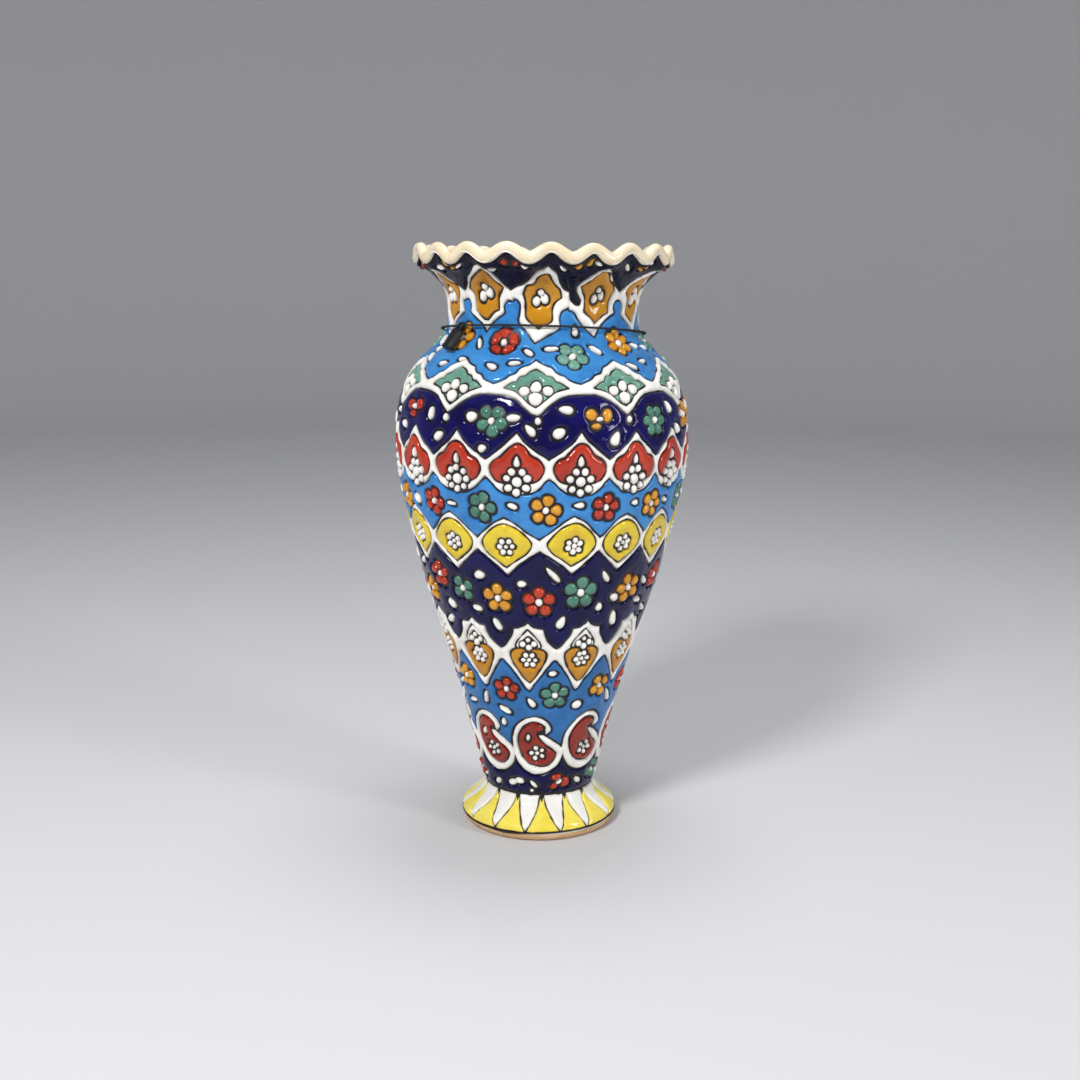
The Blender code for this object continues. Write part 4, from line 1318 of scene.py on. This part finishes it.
def build_clay():
    """Clay sections, with finger ridges inside and a trimmed foot underneath."""
    material = clay_material()

    def outside(low, high):
        count = max(2, int((high - low) / 3.0))
        return [below(low + (high - low) * k / count, CLAY_DEPTH) for k in range(count + 1)]

    def inside(high, low):
        count = max(2, int((high - low) / 0.8))
        line = []
        for k in range(count + 1):
            z = high + (low - high) * k / count
            line.append(below(z, GLAZE_WALL + wall_thickness(z) + throwing_lines(z)))
        return line

    def rounded(points, steps=5):
        """Smooth curve that follows a chain of points, without touching its corners."""
        soft = []
        points = np.array(points)
        for a, b, c in zip(points[:-2], points[1:-1], points[2:]):
            for k in range(steps):
                t = k / steps
                soft.append(tuple(0.5 * (1 - t) ** 2 * (a + b) + 2 * t * (1 - t) * b + 0.5 * t * t * (b + c)))
        return soft

    ring = rounded([
        (29.5, 5.0), (30.4, 1.4), (31.6, 0.0), (38.0, 0.0), (39.5, 0.8), (40.3, 2.4), (40.3, 3.7),
        (38.9, 3.9),
    ])
    flare = [below(z, CLAY_DEPTH) for z in (4.4, 6.0, 8.0, 10.0, 12.0, 14.0, 16.5, 19.0, 22.0)]
    plug = [(15.0, 22.0), (15.0, 24.0), (0.0, 24.0), (0.0, 12.0)]
    recess = [(19.0, 12.0), (22.0, 11.75), (25.0, 10.8), (27.2, 9.2), (28.6, 7.2)]
    turned_piece("foot", ring + flare + plug + recess, material)

    floor = [(22.5, 36.2), (20.5, 33.6), (17.8, 31.6), (14.5, 30.6), (9.0, 30.15), (0.0, FLOOR_Z)]
    base = [(0.0, 24.3), (15.3, 24.3), (15.3, 22.3)]
    top = BODY_JOINT - JOINT
    lower = base + outside(22.3, top) + [below(top, 7.0)] + inside(top, 40.5) + floor
    turned_piece("lower_body", lower, material)
    for name, low, high in (("upper_body", BODY_JOINT, NECK_JOINT), ("neck", NECK_JOINT, RIM_JOINT)):
        low, high = low + JOINT, high - JOINT
        turned_piece(name, outside(low, high) + inside(high, low), material)
    return material


LIP_ANGLES = np.linspace(-180.0, 180.0, 900, endpoint=False)
LIP_TURN = np.radians(LIP_ANGLES)


def lip_wobble(start):
    """Hand-pinched unevenness of the lip, from -1 to 1."""
    waves = ((0.40, 5, 1.0), (0.30, 11, 2.3), (0.18, 17, 1.3), (0.12, 41, 3.1))
    return sum(size * np.sin(laps * LIP_TURN + shift * start) for size, laps, shift in waves)


def rim_ring(radius, z, level, swell=0.0):
    """Ring that follows the lip's waves, a little uneven."""
    up = z + wave_shift(level, LIP_ANGLES) + 0.5 * swell * lip_wobble(2.9)
    return around(radius + swell * lip_wobble(0.7), LIP_TURN, up) * MM


def lip_roll(degrees, thickness):
    """One line along the rolled lip: a direction round its section, square to the wavy centre line."""
    phase = crimp_phase(LIP_ANGLES)
    up = LIP_CENTRE_Z - WAVE_RISE * np.cos(phase) + 0.4 * lip_wobble(2.9)
    centre = around(LIP_CENTRE_R + 0.35 * lip_wobble(0.7), LIP_TURN, up)
    along = np.roll(centre, -1, 0) - np.roll(centre, 1, 0)
    outward = around(1.0, LIP_TURN, 0.0)
    normal = np.cross(outward, along)
    normal /= np.linalg.norm(normal, axis=1)[:, None]
    normal *= np.sign(normal[:, 2:3])
    size = thickness * (1.0 + 0.08 * np.cos(phase) + 0.05 * lip_wobble(4.1))
    t = math.radians(degrees)
    return (centre + size[:, None] * (outward * math.cos(t) + normal * math.sin(t))) * MM


def build_rim(clay):
    """Crimped flare of clay, its thick cream lip and the cream glaze that runs inside."""
    cream = glaze_material("cream_glaze", (242, 228, 198), (230, 210, 174), (190, 148, 98), 0.07)
    section = [rim_ring(*below(z, CLAY_DEPTH), z) for z in np.linspace(281.1, 290.4, 12)]
    section += [lip_roll(degrees, 1.3) for degrees in (-70, -30, 10, 50, 90, 130, 170)]
    section += [rim_ring(*below(z, GLAZE_WALL + 3.4), z) for z in np.linspace(289.6, 281.1, 12)]
    place(ring_mesh("crimped_rim_clay", section, clay), "vase", "crimped_rim")

    directions = np.linspace(-112.0, 196.0, 34)
    roll = [lip_roll(degrees, LIP_ROLL) for degrees in directions]
    inside = [rim_ring(*below(z, GLAZE_WALL + 4.15), z, 0.12) for z in np.linspace(289.3, 276.5, 22)]
    inside.append(rim_ring(*below(275.6, GLAZE_WALL + 3.7), 275.6, 0.05))
    back = [rim_ring(*below(z, GLAZE_WALL + 3.3), z, 0.05) for z in np.linspace(276.5, 289.0, 12)]
    core = [lip_roll(degrees, 1.6) for degrees in (165, 120, 75, 30, -15, -60, -100)]
    piece = ring_mesh("cream_lip", roll + inside + back + core, cream, True, 60.0)
    # The cream glaze's tan rim colour lies on the underside of the lip's roll: partly thin glaze over the
    # clay, partly painted shade under the roll.
    inward = np.ones(len(piece.data.vertices))
    underside_tint = np.clip((directions + 95.0) / 60.0, 0.0, 1.0)
    inward[:len(roll) * len(LIP_ANGLES)] = np.repeat(underside_tint, len(LIP_ANGLES))
    set_values(piece, "inward", inward)
    place(piece, "vase", "lip_glaze")


CORD_Z = 261.5
CORD_TILT = 0.85
CORD_DIP = 4.3
CORD_GAP = 1.5
EYE_LIFT = 0.8
CORD_TWISTS = 150
PLY_RADIUS = 0.33
PLY_OFFSET = 0.30
SEAL_ANGLE = -50.0
SEAL_DROP = math.radians(50.0)
SEAL_POWER = 0.55


def cord_centre(angle):
    """Centre line of the cord in millimetres, as in the CAD."""
    turn = np.radians(angle)
    z = CORD_Z - CORD_TILT * np.sin(turn) - CORD_DIP * (1.0 - np.cos(turn))
    off_seal = (angle - SEAL_ANGLE + 180.0) % 360.0 - 180.0
    gap = CORD_GAP + EYE_LIFT * np.exp(-(off_seal / 10.0) ** 2)
    return around(radius_at(z) + gap * slope_at(z)[1], turn, z)


def tube(name, centres, radius, material, sides):
    """Tube along a closed loop of points in millimetres."""
    along = np.roll(centres, -1, 0) - np.roll(centres, 1, 0)
    along /= np.linalg.norm(along, axis=1)[:, None]
    side = np.cross(along, centres * (1.0, 1.0, 0.0) + (0.0, 0.0, 1e-3))
    side /= np.linalg.norm(side, axis=1)[:, None]
    up = np.cross(side, along)
    turns = 2 * math.pi * np.arange(sides) / sides
    rings = np.stack([centres + radius * (side * math.cos(t) + up * math.sin(t)) for t in turns], axis=1)
    return ring_mesh(name, rings * MM, material, True, 180.0)


def build_cord():
    """Two-ply twisted cord round the neck."""
    material = cord_material()
    angles = np.linspace(0.0, 360.0, 900, endpoint=False)
    middle = cord_centre(angles)
    for ply, node in enumerate(("neck_cord", None)):
        twist = np.radians(angles) * CORD_TWISTS + math.pi * ply
        offset = PLY_OFFSET * around(np.cos(twist), np.radians(angles), np.sin(twist))
        piece = tube(f"cord_ply_{ply + 1}", middle + offset, PLY_RADIUS, material, 7)
        place(piece, "cord_loop", node)


def seal_frame():
    """Eye centre of the seal, and its across, outward-facing and downward directions."""
    turn = math.radians(SEAL_ANGLE)
    outward = around(1.0, turn, 0.0)
    across = np.array((math.cos(turn), math.sin(turn), 0.0))
    down = outward * math.cos(SEAL_DROP) - np.array((0.0, 0.0, 1.0)) * math.sin(SEAL_DROP)
    face = np.cross(across, down)
    if face @ outward < 0:
        face = -face
    return cord_centre(SEAL_ANGLE), across, face, down


def seal_rings():
    """Outline of the seal along its length: distance, half width and half thickness."""
    spots = [
        (-1.75, 0.05, 0.05), (-1.75, 0.5, 0.3), (-1.7, 1.0, 0.6), (-1.45, 1.45, 1.0), (-1.0, 1.78, 1.3),
        (0.0, 1.9, 1.55), (1.6, 1.9, 1.58),
    ]
    for k in range(3):
        start, rib = 1.75 + 0.62 * k, 2.02 + 0.1 * k
        spots += [
            (start, 1.62, 1.32), (start + 0.18, 1.62, 1.32),
            (start + 0.26, rib, 1.6), (start + 0.46, rib, 1.6),
        ]
    spots += [
        (3.62, 2.3, 1.45), (3.9, 3.0, 1.62), (4.2, 3.2, 1.75), (5.0, 3.25, 1.82), (9.0, 3.25, 1.85),
        (12.9, 3.25, 1.9), (13.4, 3.15, 1.82), (13.8, 2.9, 1.6), (14.0, 2.5, 1.3), (14.02, 0.05, 0.05),
    ]
    return spots


def build_seal():
    """Matt black hang seal with a ribbed neck, lying on the shoulder."""
    material = seal_material()
    centre, across, face, down = seal_frame()
    turns = 2 * math.pi * np.arange(40)[:, None] / 40
    x = np.copysign(np.abs(np.cos(turns)) ** SEAL_POWER, np.cos(turns))
    y = np.copysign(np.abs(np.sin(turns)) ** SEAL_POWER, np.sin(turns))
    rings = []
    for distance, width, thickness in seal_rings():
        rings.append(centre + down * distance + across * width * x + face * thickness * y)
    piece = ring_mesh("hang_seal", np.array(rings) * MM, material, False, 30.0)
    place(piece, "seal", "seal")


# ==== Studio ====

def build_stage():
    """Plain pale round floor that curves up all round into a low backdrop."""
    flat, bend, top, sides = 2.0, 0.6, 1.6, 96
    outline = [(0.5 * flat, 0.0), (flat, 0.0)]
    for k in range(1, 13):
        t = 0.5 * math.pi * k / 12
        outline.append((flat + bend * math.sin(t), bend * (1.0 - math.cos(t))))
    outline.append((flat + bend, top))
    turn = np.linspace(0.0, 2 * math.pi, sides, endpoint=False)
    rings = [around(r, turn, z) for r, z in outline]
    index, quads = ring_quads(len(rings), sides, False)
    loops = np.concatenate((index[0], quads[:, ::-1].ravel()))
    sizes = np.concatenate(([sides], np.full(len(quads), 4)))
    floor = new_object("studio_floor", np.concatenate(rings), loops, sizes, floor_material())


# Soft rectangular lights: name, place, what it faces, size and power.
LIGHTS = (
    ("key", (-0.5, -0.85, 0.95), (0.0, 0.0, 0.18), (0.24, 0.24), 11.5),
    ("fill", (0.95, -0.6, 0.5), (0.0, 0.0, 0.15), (0.2, 0.5), 4.6),
    ("top", (0.05, 0.15, 1.3), (0.0, 0.0, 0.1), (0.5, 0.4), 5.0),
)


def light_studio():
    """Soft key from the upper left, fill from the right, and a low pale surround."""
    for name, spot, target, size, power in LIGHTS:
        light = bpy.data.lights.new(name, "AREA")
        light.shape = "RECTANGLE"
        light.size, light.size_y = size
        light.energy = power
        lamp = bpy.data.objects.new(name, light)
        lamp.location = spot
        lamp.rotation_euler = (Vector(target) - Vector(spot)).to_track_quat("-Z", "Y").to_euler()
        bpy.context.scene.collection.objects.link(lamp)
    world = bpy.data.worlds.new("studio")
    world.use_nodes = True
    background = world.node_tree.nodes["Background"]
    background.inputs["Color"].default_value = (0.9, 0.92, 0.95, 1.0)
    background.inputs["Strength"].default_value = 0.32
    bpy.context.scene.world = world
    bpy.context.scene.view_settings.view_transform = "Standard"


CAMERA_PLACE = (0.0, -0.69, 0.285)
CAMERA_DOWN = 11.105
CAMERA_ROLL = 0.5


def add_camera():
    """Camera in front, a little above the lip, looking slightly down."""
    camera = bpy.data.cameras.new("camera")
    camera.lens = 45.1
    camera.sensor_width = 36.0
    camera.clip_start = 0.02
    camera.shift_x = -0.9 / 1080.0
    view = bpy.data.objects.new("camera", camera)
    tilt = Matrix.Rotation(math.radians(90.0 - CAMERA_DOWN), 4, "X")
    roll = Matrix.Rotation(math.radians(CAMERA_ROLL), 4, "Z")
    view.matrix_world = Matrix.Translation(CAMERA_PLACE) @ tilt @ roll
    bpy.context.scene.collection.objects.link(view)
    bpy.context.scene.camera = view


make_looks()
paint_pattern()
build_glaze()
shell_material = build_outline_shell()
build_foot_line(shell_material)
clay = build_clay()
build_rim(clay)
build_cord()
build_seal()
build_stage()
light_studio()
add_camera()
